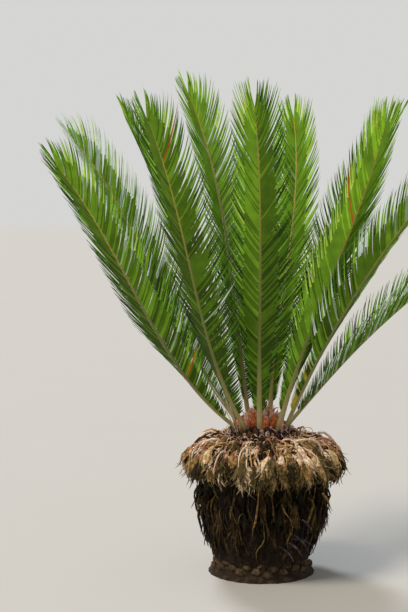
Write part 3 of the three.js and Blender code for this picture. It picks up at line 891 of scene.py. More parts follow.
# Above 1, the trunk's rings stand closer near the ground, where it flares.
RINGS_LOW = 1.4
DOME_RINGS = 12
TRUNK_STEPS = 72
TRUNK_UNEVENNESS = 0.012
STUB_COUNT = 420
STUB_SHAPES = 4
STUB_LENGTH = 12 * MM
STUB_WIDTH = 44 * MM
STUB_DEPTH = 0.42 * STUB_WIDTH
STUB_RISE = 0.35 * STUB_LENGTH
STUB_TIP_RISE = 0.45 * STUB_LENGTH
STUB_SUNK = 2 * MM
STUB_HEIGHTS = (17, 32, 60, 120, 430)


def trunk_radius(height):
    """The radius of the trunk's sides at a height below its shoulder."""
    taper = TRUNK_FOOT_RADIUS + (SHOULDER_RADIUS - TRUNK_FOOT_RADIUS) * height / SHOULDER_HEIGHT
    return taper + ROOT_FLARE * math.exp(-height / ROOT_FLARE_HEIGHT)


def weathered(name, codes, patch, rough, relief):
    """Weathered plant matter: patches of the given colours, streaks of fibre down its length and
    their relief, in millimetres. Real fibres are too fine to show, so they are a tenth as wide
    as a patch."""
    material, tree = new_material(name)
    place = add(tree, "ShaderNodeTexCoord").outputs["Object"]
    patches = add(tree, "ShaderNodeTexNoise", {"Vector": place, "Scale": 1 / (patch * MM), "Detail": 5.0})
    colours = add(tree, "ShaderNodeValToRGB", {"Fac": patches.outputs["Fac"]})
    set_stops(colours, [(0.3 + 0.4 * n / (len(codes) - 1), code) for n, code in enumerate(codes)])
    drawn_out = add(tree, "ShaderNodeMapping", {"Vector": place, "Scale": (1.0, 1.0, 0.15)})
    fibres = add(tree, "ShaderNodeTexNoise", {
        "Vector": drawn_out, "Scale": 10 / (patch * MM), "Detail": 4.0,
    })
    shade = add(tree, "ShaderNodeMapRange", {
        "Value": fibres.outputs["Fac"], "From Min": 0.3, "From Max": 0.7, "To Min": 0.6, "To Max": 1.25,
    })
    colour = add(tree, "ShaderNodeVectorMath", {0: colours, "Scale": shade}, operation="SCALE")
    bump = add(tree, "ShaderNodeBump", {
        "Height": fibres.outputs["Fac"], "Strength": 0.8, "Distance": relief * MM,
    })
    shader = add(tree, "ShaderNodeBsdfPrincipled", {
        "Base Color": colour, "Roughness": rough, "Normal": bump, "Specular IOR Level": 0.25,
    })
    add(tree, "ShaderNodeOutputMaterial", {"Surface": shader})
    return material


def leaf_stub(rng):
    """The stub of an old leaf base: a wedge that points out and a little up, broad and flat."""
    rings = []
    for along in (0.0, 0.45, 0.85):
        half = STUB_WIDTH / 2 * (1 - 0.45 * along) * rng.uniform(0.92, 1.08)
        deep = STUB_DEPTH * (1 - 0.55 * along)
        rise = STUB_RISE * along
        rings.append((along, [
            (along * STUB_LENGTH, half, rise),
            (along * STUB_LENGTH, half * 0.45, rise + deep),
            (along * STUB_LENGTH, -half * 0.45, rise + deep),
            (along * STUB_LENGTH, -half, rise),
            (along * STUB_LENGTH, 0.0, rise - 0.6 * deep),
        ]))
    return skinned("leaf_stub", rings, (STUB_LENGTH, 0.0, STUB_TIP_RISE), [0] * 5)


def spiral_tree(name, skins):
    """Deals the pieces of a collection round the trunk by the golden angle, from the start of
    a line in the plane of radius and height to its end, and gives them their skins."""
    tree = new_tree(name, {
        "Pieces": ("Collection", None),
        "Count": ("Int", 100),
        "First azimuth": ("Float", 0.0),
        "Turn": ("Float", math.radians(GOLDEN_ANGLE)),
        "Smallest": ("Float", 0.85),
        "Largest": ("Float", 1.1),
        "First lean": ("Float", 0.0),
        "Last lean": ("Float", 0.0),
        "Unevenness": ("Float", 0.0),
        "Scatter": ("Float", 0.0),
        "Shift": ("Vector", (0.0, 0.0, 0.0)),
        "Seed": ("Int", 0),
    })
    given = add(tree, "NodeGroupInput").outputs
    index = add(tree, "GeometryNodeInputIndex")
    middle = add(tree, "ShaderNodeMath", {0: index, 1: 0.5}, operation="ADD")
    share = add(tree, "ShaderNodeMath", {0: middle, 1: given["Count"]}, operation="DIVIDE")
    on_line = add(tree, "GeometryNodeSampleCurve", {
        "Curves": given["Geometry"], "Factor": share,
    }, mode="FACTOR")
    loose = add(tree, "ShaderNodeMath", {
        0: dealt(tree, given, 1, -1.0, 1.0), 1: given["Scatter"],
    }, operation="MULTIPLY")
    azimuth = add(tree, "ShaderNodeMath", {
        0: index, 1: given["Turn"], 2: given["First azimuth"],
    }, operation="MULTIPLY_ADD")
    azimuth = add(tree, "ShaderNodeMath", {0: azimuth, 1: loose}, operation="ADD")
    place = add(tree, "ShaderNodeVectorRotate", {
        "Vector": on_line.outputs["Position"], "Axis": (0.0, 0.0, 1.0), "Angle": azimuth,
    }, rotation_type="AXIS_ANGLE")
    place = add(tree, "ShaderNodeVectorMath", {0: place, 1: given["Shift"]}, operation="ADD")
    points = add(tree, "GeometryNodePoints", {"Count": given["Count"], "Position": place})
    lean = add(tree, "ShaderNodeMapRange", {
        "Value": share, "To Min": given["First lean"], "To Max": given["Last lean"],
    })
    wobble = [
        add(tree, "ShaderNodeMath", {
            0: dealt(tree, given, salt, -1.0, 1.0), 1: given["Unevenness"],
        }, operation="MULTIPLY")
        for salt in (2, 3, 4)
    ]
    lean = add(tree, "ShaderNodeMath", {0: lean, 1: wobble[0]}, operation="ADD")
    heading = add(tree, "ShaderNodeMath", {0: azimuth, 1: wobble[1]}, operation="ADD")
    euler = add(tree, "ShaderNodeCombineXYZ", {0: wobble[2], 1: lean, 2: heading})
    rotation = add(tree, "FunctionNodeEulerToRotation", {"Euler": euler})
    pieces = add(tree, "GeometryNodeCollectionInfo", {
        "Collection": given["Pieces"], "Separate Children": True, "Reset Children": True,
    })
    size = add(tree, "FunctionNodeRandomValue", {
        2: given["Smallest"], 3: given["Largest"], "Seed": given["Seed"],
    })
    choice = add(tree, "FunctionNodeRandomValue", {4: 0, 5: 1000, "Seed": given["Seed"]}, data_type="INT")
    dealt_pieces = add(tree, "GeometryNodeInstanceOnPoints", {
        "Points": points,
        "Instance": pieces,
        "Pick Instance": True,
        "Instance Index": choice.outputs[2],
        "Rotation": rotation,
        "Scale": size.outputs[1],
    })
    tones = 1 + max(number % KIND_STEP for number in skins)
    tone = add(tree, "ShaderNodeMath", {
        0: dealt(tree, given, 5, -0.49, tones - 0.51),
    }, operation="ROUND")
    toned = add(tree, "GeometryNodeStoreNamedAttribute", {
        "Geometry": dealt_pieces, "Name": "tone", "Value": tone,
    }, domain="INSTANCE")
    whole = add(tree, "GeometryNodeRealizeInstances", {"Geometry": toned})
    tone = add(tree, "GeometryNodeInputNamedAttribute", {"Name": "tone"})
    add(tree, "NodeGroupOutput", {"Geometry": dressed(tree, whole, tone, skins)})
    return tree


def kept_as(name, meshes):
    """A collection of the meshes, which a tree deals out. It isn't in the scene itself."""
    collection = bpy.data.collections.new(name)
    for number, mesh in enumerate(meshes):
        collection.objects.link(bpy.data.objects.new(f"{name}_{number:02d}", mesh))
    return collection


def section_line(name, points):
    """A line through points of radius and height, on which a spiral's pieces stand."""
    data = new_line(name, smoothness=1)
    spline = data.splines.new("POLY")
    spline.points.add(len(points) - 1)
    for point, (radius, height) in zip(spline.points, points):
        point.co = (radius, 0.0, height, 1.0)
    return put_in_scene(name, data)


def lathe(name, section, steps, unevenness, rng):
    """A closed form turned from a section of (radius, height) that starts and ends on the
    axis, each point moved out or in by up to its share of unevenness."""
    form = bmesh.new()
    rows = []
    for radius, height in section:
        if radius == 0:
            rows.append([form.verts.new((0.0, 0.0, height))])
            continue
        row = []
        for step in range(steps):
            moved = radius * (1 + rng.uniform(-unevenness, unevenness))
            row.append(form.verts.new(polar(360 * step / steps, moved, height)))
        rows.append(row)
    for low, high in zip(rows, rows[1:]):
        for step in range(steps):
            following = (step + 1) % steps
            if len(low) == 1:
                form.faces.new((low[0], high[following], high[step]))
            elif len(high) == 1:
                form.faces.new((low[step], low[following], high[0]))
            else:
                form.faces.new((low[step], low[following], high[following], high[step]))
    return as_mesh(name, form)


rng = random.Random(5)
# The trunk's body shows only in the crevices between the stubs and is darker than them: painted shade.
crevice_shade = weathered("bark fibre in painted crevice shade", ["1c140c", "32261a", "4c3c2a"], 25.0, 0.95, 1.5)
bark = weathered("weathered leaf base bark", ["2e2418", "4c3c2a", "6c5a42"], 20.0, 0.95, 1.5)
trunk_section = [(0.0, 0.0)]
for ring in range(TRUNK_RINGS + 1):
    height = SHOULDER_HEIGHT * (ring / TRUNK_RINGS) ** RINGS_LOW
    trunk_section.append((trunk_radius(height), height))
for ring in range(1, DOME_RINGS):
    turn = math.pi / 2 * ring / DOME_RINGS
    rise = CROWN_RISE * math.sin(turn)
    trunk_section.append((SHOULDER_RADIUS * math.cos(turn), SHOULDER_HEIGHT + rise))
trunk_section.append((0.0, SHOULDER_HEIGHT + CROWN_RISE))
stub_line = section_line("stub_line", [
    (trunk_radius(height * MM) - STUB_SUNK, height * MM) for height in STUB_HEIGHTS
])
stubs = grown("trunk_leaf_stubs", stub_line, spiral_tree("leaf stubs", {0: bark}), {
    "Pieces": kept_as("stub", [leaf_stub(rng) for _ in range(STUB_SHAPES)]),
    "Count": STUB_COUNT,
    "Unevenness": 0.12,
    "Seed": 3,
})
bpy.data.objects.remove(stub_line)
trunk_mesh = lathe("trunk_bark", trunk_section, TRUNK_STEPS, TRUNK_UNEVENNESS, rng)
trunk = put_in_scene("trunk_bark", trunk_mesh)
trunk.data.materials.append(crevice_shade)
for piece in (trunk, stubs):
    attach(piece, "root")
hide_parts("trunk")


# Skirt of dried scales.
# The woolly, long-stalked scales that bore the seeds, dried where they grew. Each bends over and hangs, and
# frays into thin fingers. The upper ones are tan and pinkish, with painted highlights on their tops, those
# at the hem darker with painted shade, and the oldest near black, partly from age and partly painted shade.
SKIRT_PARTS = 8
UPPER_CORE = [
    (0.0, 472), (110, 480), (165, 470), (206, 446), (230, 408), (230, 374), (208, 348), (0.0, 344),
]
LOWER_CORE = [(0.0, 350), (176, 350), (198, 260), (192, 150), (170, 60), (0.0, 52)]
CORE_STEPS = 60
CORE_UNEVENNESS = 0.035
SKIRT_SHIFT = (6 * MM, 0.0, 0.0)
SKIRT_SCATTER = 0.2
# The kinds of a scale's faces.
FELT, BACK, FINGER, STALK = range(4)
# A hand's section, as shares of its half width and of its depth: the pleats of its face, from
# one edge to the other, and then the two corners of its back.
HAND_SECTION = (
    (1.0, -0.1), (0.62, 1.0), (0.25, 0.55), (-0.2, 1.15), (-0.62, 0.6), (-1.0, -0.1),
    (-0.5, -0.5), (0.5, -0.5),
)
FACE_STRIPS = 5
# Shares of a scale's path: over how much of it the stalk widens into the hand, and how long
# before the hand its face turns from rind to felt. Then the share by which the hand closes again.
WIDENING = 0.3
FELT_BEFORE_HAND = 0.2
HAND_CLOSING = 0.6
# A finger's root as a share of the hand's half width, its rings as shares of its own length, its
# half width in millimetres, and the factors that its length is dealt from.
FINGER_ROOT = 0.8
FINGER_RINGS = (-0.1, 0.4, 0.78)
FINGER_HALF_WIDTHS = (1.6, 3.0)
FINGER_LENGTHS = (0.55, 1.2)
# How one scale differs from the next at its end: how far it sways to one side, wavers to the
# side and wavers in height, in millimetres, the factors of its hand, and a share of its reach.
SCALE_SWAY = 30
SIDE_WAVER = 6
HEIGHT_WAVER = 9
HAND_WIDTHS = (0.8, 1.2)
REACH_WAVER = 0.16
# A strip's points, the factors that its width is dealt from, and its width at its foot and at
# its tip as shares of its full width.
STRIP_STEPS = 9
STRIP_WIDTHS = (0.7, 1.3)
STRIP_ENDS = (0.7, 0.25)


def bezier(points, share):
    """The place on a cubic curve at a share, and its direction there."""
    start, first, second, stop = [Vector(point) * MM for point in points]
    rest = 1 - share
    place = rest ** 3 * start + 3 * rest * rest * share * first + 3 * rest * share * share * second
    place += share ** 3 * stop
    way = rest * rest * (first - start) + 2 * rest * share * (second - first)
    way += share * share * (stop - second)
    return place, way.normalized()


def dried_scale(name, rng, path, stalk, hand, hand_start, fingers, finger, spread, curl, tangle):
    """A dried scale along a path, +X out and +Z up: a stalk that widens into a thick pleated
    hand, with fingers down both its edges and at its end. They spread by degrees, curl by a
    share of their length and swing aside by up to tangle's share of it. Sizes in millimetres."""
    form = bmesh.new()
    kind = form.faces.layers.int.new("kind")
    up = Vector((0.0, 0.0, 1.0))

    def axes(share):
        """The place, the direction, the way across and the way out of the scale's face, and
        half its width there and how far it has opened."""
        place, way = bezier(path, share)
        across = (up.cross(way) + Vector((0.0, 0.001, 0.0))).normalized()
        if across.y < 0:
            across.negate()
        opened = min(1.0, max(0.0, (share - hand_start + WIDENING) / WIDENING)) ** 2
        closing = 1 - HAND_CLOSING * max(0.0, (share - hand_start) / (1 - hand_start)) ** 2
        half = (stalk + (hand - stalk) * opened) / 2 * closing * MM
        return place, way, across, way.cross(across), half, opened

    stations = [hand_start * part for part in (0.0, 0.25, 0.45, 0.62, 0.8, 1.0)]
    stations += [1 - (1 - hand_start) * part for part in (0.6, 0.25, 0.0)]
    rows = []
    for share in stations:
        place, way, across, out, half, opened = axes(share)
        deep = half * (0.55 - 0.2 * opened)
        rows.append([
            form.verts.new(place + across * half * part + out * deep * lift)
            for part, lift in HAND_SECTION
        ])
    strips_round = len(HAND_SECTION)
    for share, low, high in zip(stations, rows, rows[1:]):
        front = STALK if share < hand_start - FELT_BEFORE_HAND else FELT
        for strip in range(strips_round):
            following = (strip + 1) % strips_round
            face = form.faces.new((low[strip], low[following], high[following], high[strip]))
            face[kind] = front if strip < FACE_STRIPS else BACK
    form.faces.new(list(reversed(rows[0])))[kind] = BACK
    form.faces.new(rows[-1])[kind] = BACK
    for number in range(fingers):
        side = 1 if number % 2 else -1
        part = (number + rng.uniform(0.0, 0.9)) / fingers
        place, way, across, out, half, opened = axes(hand_start + (1 - hand_start) * part)
        root = place + across * half * FINGER_ROOT * side
        bearing = math.radians(spread * (1.1 - part) * side + rng.uniform(-9, 9) * (1 + tangle))
        ahead = way * math.cos(bearing) + across * math.sin(bearing)
        length = finger * MM * rng.uniform(*FINGER_LENGTHS)
        width = rng.uniform(*FINGER_HALF_WIDTHS) * MM
        bend = curl * rng.uniform(-0.5, 1.5)
        twist = rng.uniform(-tangle, tangle)
        rings = []
        for along in FINGER_RINGS:
            centre = root + ahead * length * along
            centre -= out * length * bend * along * along
            centre += across * length * along * along * twist
            slim = width * (1 - 0.5 * max(0.0, along))
            rings.append([
                form.verts.new(centre + across * slim),
                form.verts.new(centre - across * slim),
                form.verts.new(centre - out * slim),
            ])
        tip = root + ahead * length - out * length * bend * 1.05 + across * length * twist * 1.1
        end = form.verts.new(tip)
        form.faces.new(list(reversed(rings[0])))[kind] = FINGER
        for strip in range(3):
            following = (strip + 1) % 3
            for low, high in zip(rings, rings[1:]):
                face = form.faces.new((low[strip], low[following], high[following], high[strip]))
                face[kind] = FINGER
            form.faces.new((rings[-1][strip], rings[-1][following], end))[kind] = FINGER
    return as_mesh(name, form)


def scales(name, seed, count, **sizes):
    """Several scales of one kind, each a little different, kept for dealing out."""
    rng = random.Random(seed)
    made = []
    for number in range(count):
        sway = rng.uniform(-SCALE_SWAY, SCALE_SWAY)
        path = []
        for step, (x, z) in enumerate(sizes["path"]):
            loose = step / 3
            path.append((
                x * rng.uniform(1 - REACH_WAVER * loose, 1 + REACH_WAVER * loose),
                sway * loose * loose + rng.uniform(-SIDE_WAVER, SIDE_WAVER) * loose,
                z + rng.uniform(-HEIGHT_WAVER, HEIGHT_WAVER) * loose,
            ))
        changed = dict(sizes, path=path, hand=sizes["hand"] * rng.uniform(*HAND_WIDTHS))
        made.append(dried_scale(f"{name}_{number}", rng, **changed))
    return kept_as(name, made)


def strap_tree(name, skin_material):
    """Sweeps a thin flat strip along each line of the carrier, as wide as the line's own radius
    says, and twists it a little."""
    tree = new_tree(name, {
        "Steps": ("Int", 14),
        "Flatness": ("Float", 0.3),
        "Twist": ("Float", 0.0),
    })
    given = add(tree, "NodeGroupInput").outputs
    line = add(tree, "GeometryNodeResampleCurve", {"Curve": given["Geometry"], "Count": given["Steps"]})
    share = add(tree, "GeometryNodeSplineParameter").outputs["Factor"]
    turn = add(tree, "ShaderNodeMath", {0: share, 1: given["Twist"]}, operation="MULTIPLY")
    line = add(tree, "GeometryNodeSetCurveTilt", {"Curve": line, "Tilt": turn})
    radius = add(tree, "GeometryNodeInputRadius")
    section = add(tree, "GeometryNodeCurvePrimitiveCircle", {"Resolution": 4, "Radius": 1.0})
    flat = add(tree, "ShaderNodeCombineXYZ", {0: given["Flatness"], 1: 1.0, 2: 1.0})
    section = add(tree, "GeometryNodeTransform", {"Geometry": section, "Scale": flat})
    mesh = add(tree, "GeometryNodeCurveToMesh", {
        "Curve": line, "Profile Curve": section, "Scale": radius, "Fill Caps": True,
    })
    whole = add(tree, "GeometryNodeRealizeInstances", {"Geometry": mesh})
    whole = add(tree, "GeometryNodeSetMaterial", {"Geometry": whole, "Material": skin_material})
    add(tree, "NodeGroupOutput", {"Geometry": whole})
    return tree


def strap_lines(name, rows):
    """A curve object with a smooth line for each row of points in millimetres, each as wide as
    its row says and slimmer towards both its ends."""
    data = new_line(name, smoothness=12)
    for width, points in rows:
        spline = data.splines.new("BEZIER")
        spline.bezier_points.add(len(points) - 1)
        slimness = [STRIP_ENDS[0]] + [1.0] * (len(points) - 2) + [STRIP_ENDS[1]]
        for point, place, share in zip(spline.bezier_points, points, slimness):
            point.handle_left_type = "AUTO"
            point.handle_right_type = "AUTO"
            point.co = Vector(place) * MM
            point.radius = width / 2 * MM * share
    return put_in_scene(name, data)


def strips(name, seed, count, width, points, wander, skin, twist=2.0):
    """Several thin strips along much the same points, each bent its own way, for dealing out.
    Their width, points and how far they wander from them are in millimetres."""
    rng = random.Random(seed)
    tree = strap_tree(name, skin)
    made = []
    for number in range(count):
        loose = [
            tuple(value + rng.uniform(-wander, wander) * min(1, step) for value in place)
            for step, place in enumerate(points)
        ]
        lines = strap_lines(f"{name}_line", [(width * rng.uniform(*STRIP_WIDTHS), loose)])
        strip = grown(f"{name}_{number}", lines, tree, {
            "Steps": STRIP_STEPS,
            "Twist": rng.uniform(-twist, twist),
        })
        made.append(strip.data)
        bpy.data.objects.remove(strip)
        bpy.data.objects.remove(lines)
    return kept_as(name, made)


def skins(*kinds):
    """The skins of a kind of scale, numbered by the kind of face and the tone. Each kind of face
    has the size of its patches, a roughness, a relief and the colours of its tones."""
    made = {}
    for kind, (patch, rough, relief, tones) in enumerate(kinds):
        for tone, (name, codes) in enumerate(tones.items()):
            made[KIND_STEP * kind + tone] = weathered(name, codes.split(), patch, rough, relief)
    return made


def dealt_round(row, tree, scatter, shift):
    """The piece that a spiral tree makes of a row: from the first to the last point of its line,
    [radius, height] in millimetres, its pieces lean by the row's first to its last degrees."""
    line = section_line(row["name"], [(radius * MM, height * MM) for radius, height in row["line"]])
    piece = grown(row["name"] + "_piece", line, tree, {
        "Pieces": row["pieces"],
        "Count": row["count"],
        "First lean": math.radians(row["lean"][0]),
        "Last lean": math.radians(row["lean"][1]),
        "Unevenness": row["unevenness"],
        "Scatter": scatter,
        "Shift": shift,
        "Seed": row["seed"],
    })
    bpy.data.objects.remove(line)
    return piece


# A lit copy of the scales' skins: the felt and the stalk rind, which arches over at the top, are lightened
# past their own tan and cream into painted highlights, and the inner wool on their backs is darker than its
# own rust, painted shade in the gaps between them.
upper_lit_skins = skins(
    (14.3, 0.9, 0.6, {
        "tan hand felt": "886c42 c8a672 f8e6c8",
        "pinkish hand felt": "a07c54 e8c8a6 fff6ea",
        "brown hand felt": "48361c 886a3a bca06e",
        "umber hand felt": "2e2410 584a28 88744a",
    }),
    (9.1, 0.95, 0.6, {
        "orange inner wool": "4c2c14 80522c a67444",
        "brown inner wool": "28190c 54391f 785834",
        "umber inner wool": "1c1208 3c2a16 5a4426",
        "black inner wool": "120b05 281b0d 40301a",
    }),
    (9.1, 0.85, 0.4, {
        "tan finger": "725c30 ac905a dac492",
        "pale finger": "a4825c dcbe9c fcecd8",
        "brown finger": "36280f 64502c 8e7642",
        "umber finger": "2a2010 544628 806e48",
    }),
    (11.1, 0.8, 0.4, {
        "tan stalk rind": "966f48 d8b080 fce8cc",
        "cream stalk rind": "c8a084 f6dac0 fff8f0",
        "orange-brown stalk rind": "744220 b47840 dca870",
        "umber stalk rind": "3c2814 745430 a07c50",
    }),
)
# A shaded copy of the same skins: painted shade on the scales that hang lowest, under the others.
hem_shaded_skins = skins(
    (11.1, 0.9, 0.6, {
        "shaded tan felt": "2c220e 50421f 7a6a3e",
        "shaded umber felt": "100b05 241c0d 3c301a",
    }),
    (11.1, 0.95, 0.6, {
        "shaded inner wool": "180e06 38220f 543820",
        "shaded inner umber": "100a05 241a0c 3c2c16",
    }),
    (11.1, 0.85, 0.4, {
        "shaded tan finger": "2c220c 544620 826e40",
        "shaded umber finger": "100b05 281e0f 46371e",
    }),
    (11.1, 0.85, 0.4, {
        "shaded tan rind": "302412 5c4a2a 886e46",
        "shaded umber rind": "140e06 302412 504022",
    }),
)
# The lower skirt's skins are near black: partly the old scales' own weathering, partly painted shade under
# the upper skirt.
lower_weathered_shaded_skins = skins(
    (16.7, 0.9, 0.8, {
        "shaded weathered black scale": "0a0704 1a120a 302410",
        "shaded weathered umber scale": "1c1408 3c2d14 645028",
    }),
    (16.7, 0.95, 0.8, {
        "shaded weathered inner scale": "0a0603 150d06 241808",
        "shaded weathered inner umber": "100a05 1e140a 302210",
    }),
    (16.7, 0.9, 0.6, {
        "shaded weathered black finger": "0e0905 20170b 3a2c14",
        "shaded weathered umber finger": "201709 46361a 725c2e",
    }),
    (16.7, 0.9, 0.6, {
        "shaded weathered black rind": "0a0704 1a120a 302410",
        "shaded weathered umber rind": "1c1408 3c2e14 64522a",
    }),
)
# The tan and cream strips are lightened past their own colour: painted highlights of the light on the
# skirt's top.
strip_skins = {
    0: weathered("tan dry strip", ["8c663c", "cca068", "f0d0a0"], 11.1, 0.85, 0.4),
    1: weathered("cream dry strip", ["c0a084", "f2d8bc", "fff4e8"], 11.1, 0.8, 0.4),
    2: weathered("pinkish brown dry strip", ["7c4830", "c08664", "e8b898"], 11.1, 0.85, 0.4),
    3: weathered("dark dry strip", ["2a1a0c", "48321c", "664a2c"], 11.1, 0.85, 0.4),
}
# Near black as well: partly the old strips' weathering, partly painted shade under the upper skirt.
old_strip_shaded_skins = skins((16.7, 0.9, 0.6, {
    "black old strip": "0c0804 1c140a 2c2010",
    "umber old strip": "1e160a 40321a 68542c",
    "dark old strip": "120c06 281e0e 42341a",
    "olive old strip": "32280f 625024 8c7440",
}))
# The cores under the scales are near black: painted shade in the gaps between the scales.
core_shade_skin = weathered("matted fibre in painted shade", ["0c0805", "20150a", "3c2a16"], 11.1, 0.95, 2.0)
cores = (("skirt_core_upper", UPPER_CORE, "skirt_upper"), ("skirt_core_lower", LOWER_CORE, "skirt_lower"))
for name, core, slot in cores:
    section = [(radius * MM, height * MM) for radius, height in reversed(core)]
    piece = put_in_scene(name, lathe(name, section, CORE_STEPS, CORE_UNEVENNESS, rng))
    piece.data.materials.append(core_shade_skin)
    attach(piece, "root")
    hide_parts(*[f"{slot}_{number:02d}" for number in range(1, SKIRT_PARTS + 1)])

top_scales = scales(
    "top_scale", seed=21, count=8, path=[(0, 0), (52, 16), (104, 0), (110, -76)],
    stalk=11, hand=32, hand_start=0.78, fingers=10, finger=36, spread=44, curl=0.5, tangle=0.7,
)
short_scales = scales(
    "short_scale", seed=24, count=8, path=[(0, 0), (14, 22), (44, 28), (56, -12)],
    stalk=9, hand=18, hand_start=0.7, fingers=9, finger=28, spread=64, curl=0.7, tangle=0.9,
)
hanging_scales = scales(
    "hanging_scale", seed=22, count=8, path=[(0, 0), (34, 18), (66, 2), (58, -54)],
    stalk=11, hand=34, hand_start=0.66, fingers=10, finger=34, spread=40, curl=0.5, tangle=0.6,
)
old_scales = scales(
    "old_scale", seed=23, count=8, path=[(0, 0), (22, 14), (36, -4), (30, -90)],
    stalk=9, hand=26, hand_start=0.55, fingers=9, finger=46, spread=16, curl=0.4, tangle=0.3,
)
crown_strips = strips(
    "crown_strip", seed=61, count=12, width=5.5, wander=12, skin=strip_skins[0],
    points=[(0, 0, 0), (10, 0, 12), (28, 0, 15), (38, 0, 2), (28, 0, -8)],
)
long_strips = strips(
    "long_strip", seed=64, count=10, width=8.0, wander=14, skin=strip_skins[0],
    points=[(0, 0, 0), (30, 0, 12), (66, 0, 4), (92, 0, -22), (90, 0, -64)],
)
hem_strips = strips(
    "hem_strip", seed=62, count=12, width=5.5, wander=13, skin=strip_skins[0],
    points=[(0, 0, 0), (16, 0, -2), (24, 0, -26), (20, 0, -54), (6, 0, -74)],
)
old_strips = strips(
    "old_strip", seed=63, count=12, width=10.0, wander=11, skin=strip_skins[0],
    points=[(0, 0, 0), (14, 0, -8), (20, 0, -50), (14, 0, -98), (-4, 0, -136)],
)
upper_spiral = spiral_tree("upper scales", upper_lit_skins)
hem_spiral = spiral_tree("hem scales", hem_shaded_skins)
lower_spiral = spiral_tree("lower scales", lower_weathered_shaded_skins)
strip_spiral = spiral_tree("strips", strip_skins)
old_strip_spiral = spiral_tree("old strips", old_strip_shaded_skins)
# Each row deals one kind of scale or strip round the skirt. Where the last lean is positive, the
# lowest of them draw in towards the trunk.
SKIRT = [
    {"name": "skirt_upper_top_scales", "tree": upper_spiral, "pieces": top_scales,
     "slot": "skirt_upper", "line": [(108, 458), (164, 446)],
     "count": 84, "lean": (-6, 10), "unevenness": 0.32, "seed": 33},
    {"name": "skirt_upper_short_scales", "tree": upper_spiral, "pieces": short_scales,
     "slot": "skirt_upper", "line": [(108, 460), (150, 456), (190, 440)],
     "count": 110, "lean": (-14, 16), "unevenness": 0.5, "seed": 36},
    {"name": "skirt_upper_scales", "tree": upper_spiral, "pieces": hanging_scales,
     "slot": "skirt_upper", "line": [(184, 440), (208, 426), (216, 404)],
     "count": 130, "lean": (-6, 6), "unevenness": 0.3, "seed": 41},
    {"name": "skirt_upper_hem_scales", "tree": hem_spiral, "pieces": hanging_scales,
     "slot": "skirt_upper", "line": [(204, 426), (208, 404)],
     "count": 80, "lean": (0, 8), "unevenness": 0.24, "seed": 48},
    {"name": "skirt_lower_scales", "tree": lower_spiral, "pieces": old_scales,
     "slot": "skirt_lower", "line": [(184, 344), (194, 280), (180, 210), (166, 168)],
     "count": 150, "lean": (0, 26), "unevenness": 0.22, "seed": 51},
    {"name": "skirt_old_strips", "tree": old_strip_spiral, "pieces": old_strips,
     "slot": "skirt_lower", "line": [(196, 366), (212, 310), (200, 230), (180, 176)],
     "count": 190, "lean": (-4, 20), "unevenness": 0.24, "seed": 56},
    {"name": "skirt_crown_strips", "tree": strip_spiral, "pieces": crown_strips,
     "slot": "skirt_upper", "line": [(102, 466), (150, 460), (206, 436)],
     "count": 380, "lean": (-30, 36), "unevenness": 0.7, "seed": 71},
    {"name": "skirt_long_strips", "tree": strip_spiral, "pieces": long_strips,
     "slot": "skirt_upper", "line": [(104, 464), (150, 458), (194, 436)],
     "count": 130, "lean": (-4, 12), "unevenness": 0.36, "seed": 76},
    {"name": "skirt_hem_strips", "tree": strip_spiral, "pieces": hem_strips,
     "slot": "skirt_upper", "line": [(186, 452), (226, 434), (242, 414)],
     "count": 190, "lean": (-8, 12), "unevenness": 0.36, "seed": 81},
]
for row in SKIRT:
    piece = dealt_round(row, row["tree"], SKIRT_SCATTER, SKIRT_SHIFT)
    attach(piece, "root")


# Loose straps and stalks.
# Single dried stalks and strips that have come out of the skirt's mop: pale and orange-brown
# ones that loop over its shoulder, and old ones that hang in front of the lower skirt.
STRAP_STEPS = 24
STRAP_TWIST = 0.8
# For each skin, every strap's width and the points that it runs through, in millimetres.
STRAPS = {
    0: [
        (8, [(60, -180, 476), (96, -214, 484), (118, -236, 462), (124, -250, 422)]),
        (8, [(-120, -150, 476), (-150, -176, 486), (-176, -196, 470), (-190, -206, 430)]),
    ],
    1: [
        (9, [(94, -150, 482), (128, -165, 496), (168, -165, 496), (192, -150, 476), (202, -150, 440)]),
        (3, [(132, -50, 480), (142, -50, 512), (163, -50, 520), (177, -50, 505), (163, -50, 480)]),
        (4, [(136, -60, 500), (162, -70, 494), (208, -60, 512)]),
        (7, [(-40, -190, 470), (-66, -222, 480), (-84, -248, 456), (-88, -262, 412)]),
        (6, [(-128, -40, 578), (-108, -60, 545), (-84, -76, 490)]),
        (5, [(-114, -26, 600), (-100, -48, 556), (-80, -70, 490)]),
    ],
    2: [
        (9, [(150, -120, 470), (196, -110, 492), (236, -95, 482), (258, -90, 458), (252, -95, 424)]),
        (4, [(-186, -120, 452), (-218, -110, 472), (-248, -95, 464), (-258, -90, 436),
             (-242, -95, 412)]),
    ],
    4: [
        (12, [(102, -178, 158), (140, -184, 150), (176, -164, 126)]),
        (11, [(104, -182, 174), (136, -186, 144), (160, -176, 104)]),
        (9, [(132, -188, 226), (150, -184, 208), (164, -174, 188)]),
        (11, [(78, -188, 150), (112, -194, 128), (136, -182, 92)]),
        (10, [(54, -190, 134), (84, -198, 112), (104, -188, 78)]),
    ],
    5: [
        (12, [(-18, -250, 392), (-20, -258, 330), (-24, -248, 270), (-30, -232, 222),
              (-38, -216, 192)]),
        (14, [(60, -218, 288), (70, -232, 262), (86, -228, 240), (102, -216, 220)]),
        (12, [(206, -126, 304), (222, -122, 280), (230, -114, 258)]),
    ],
}

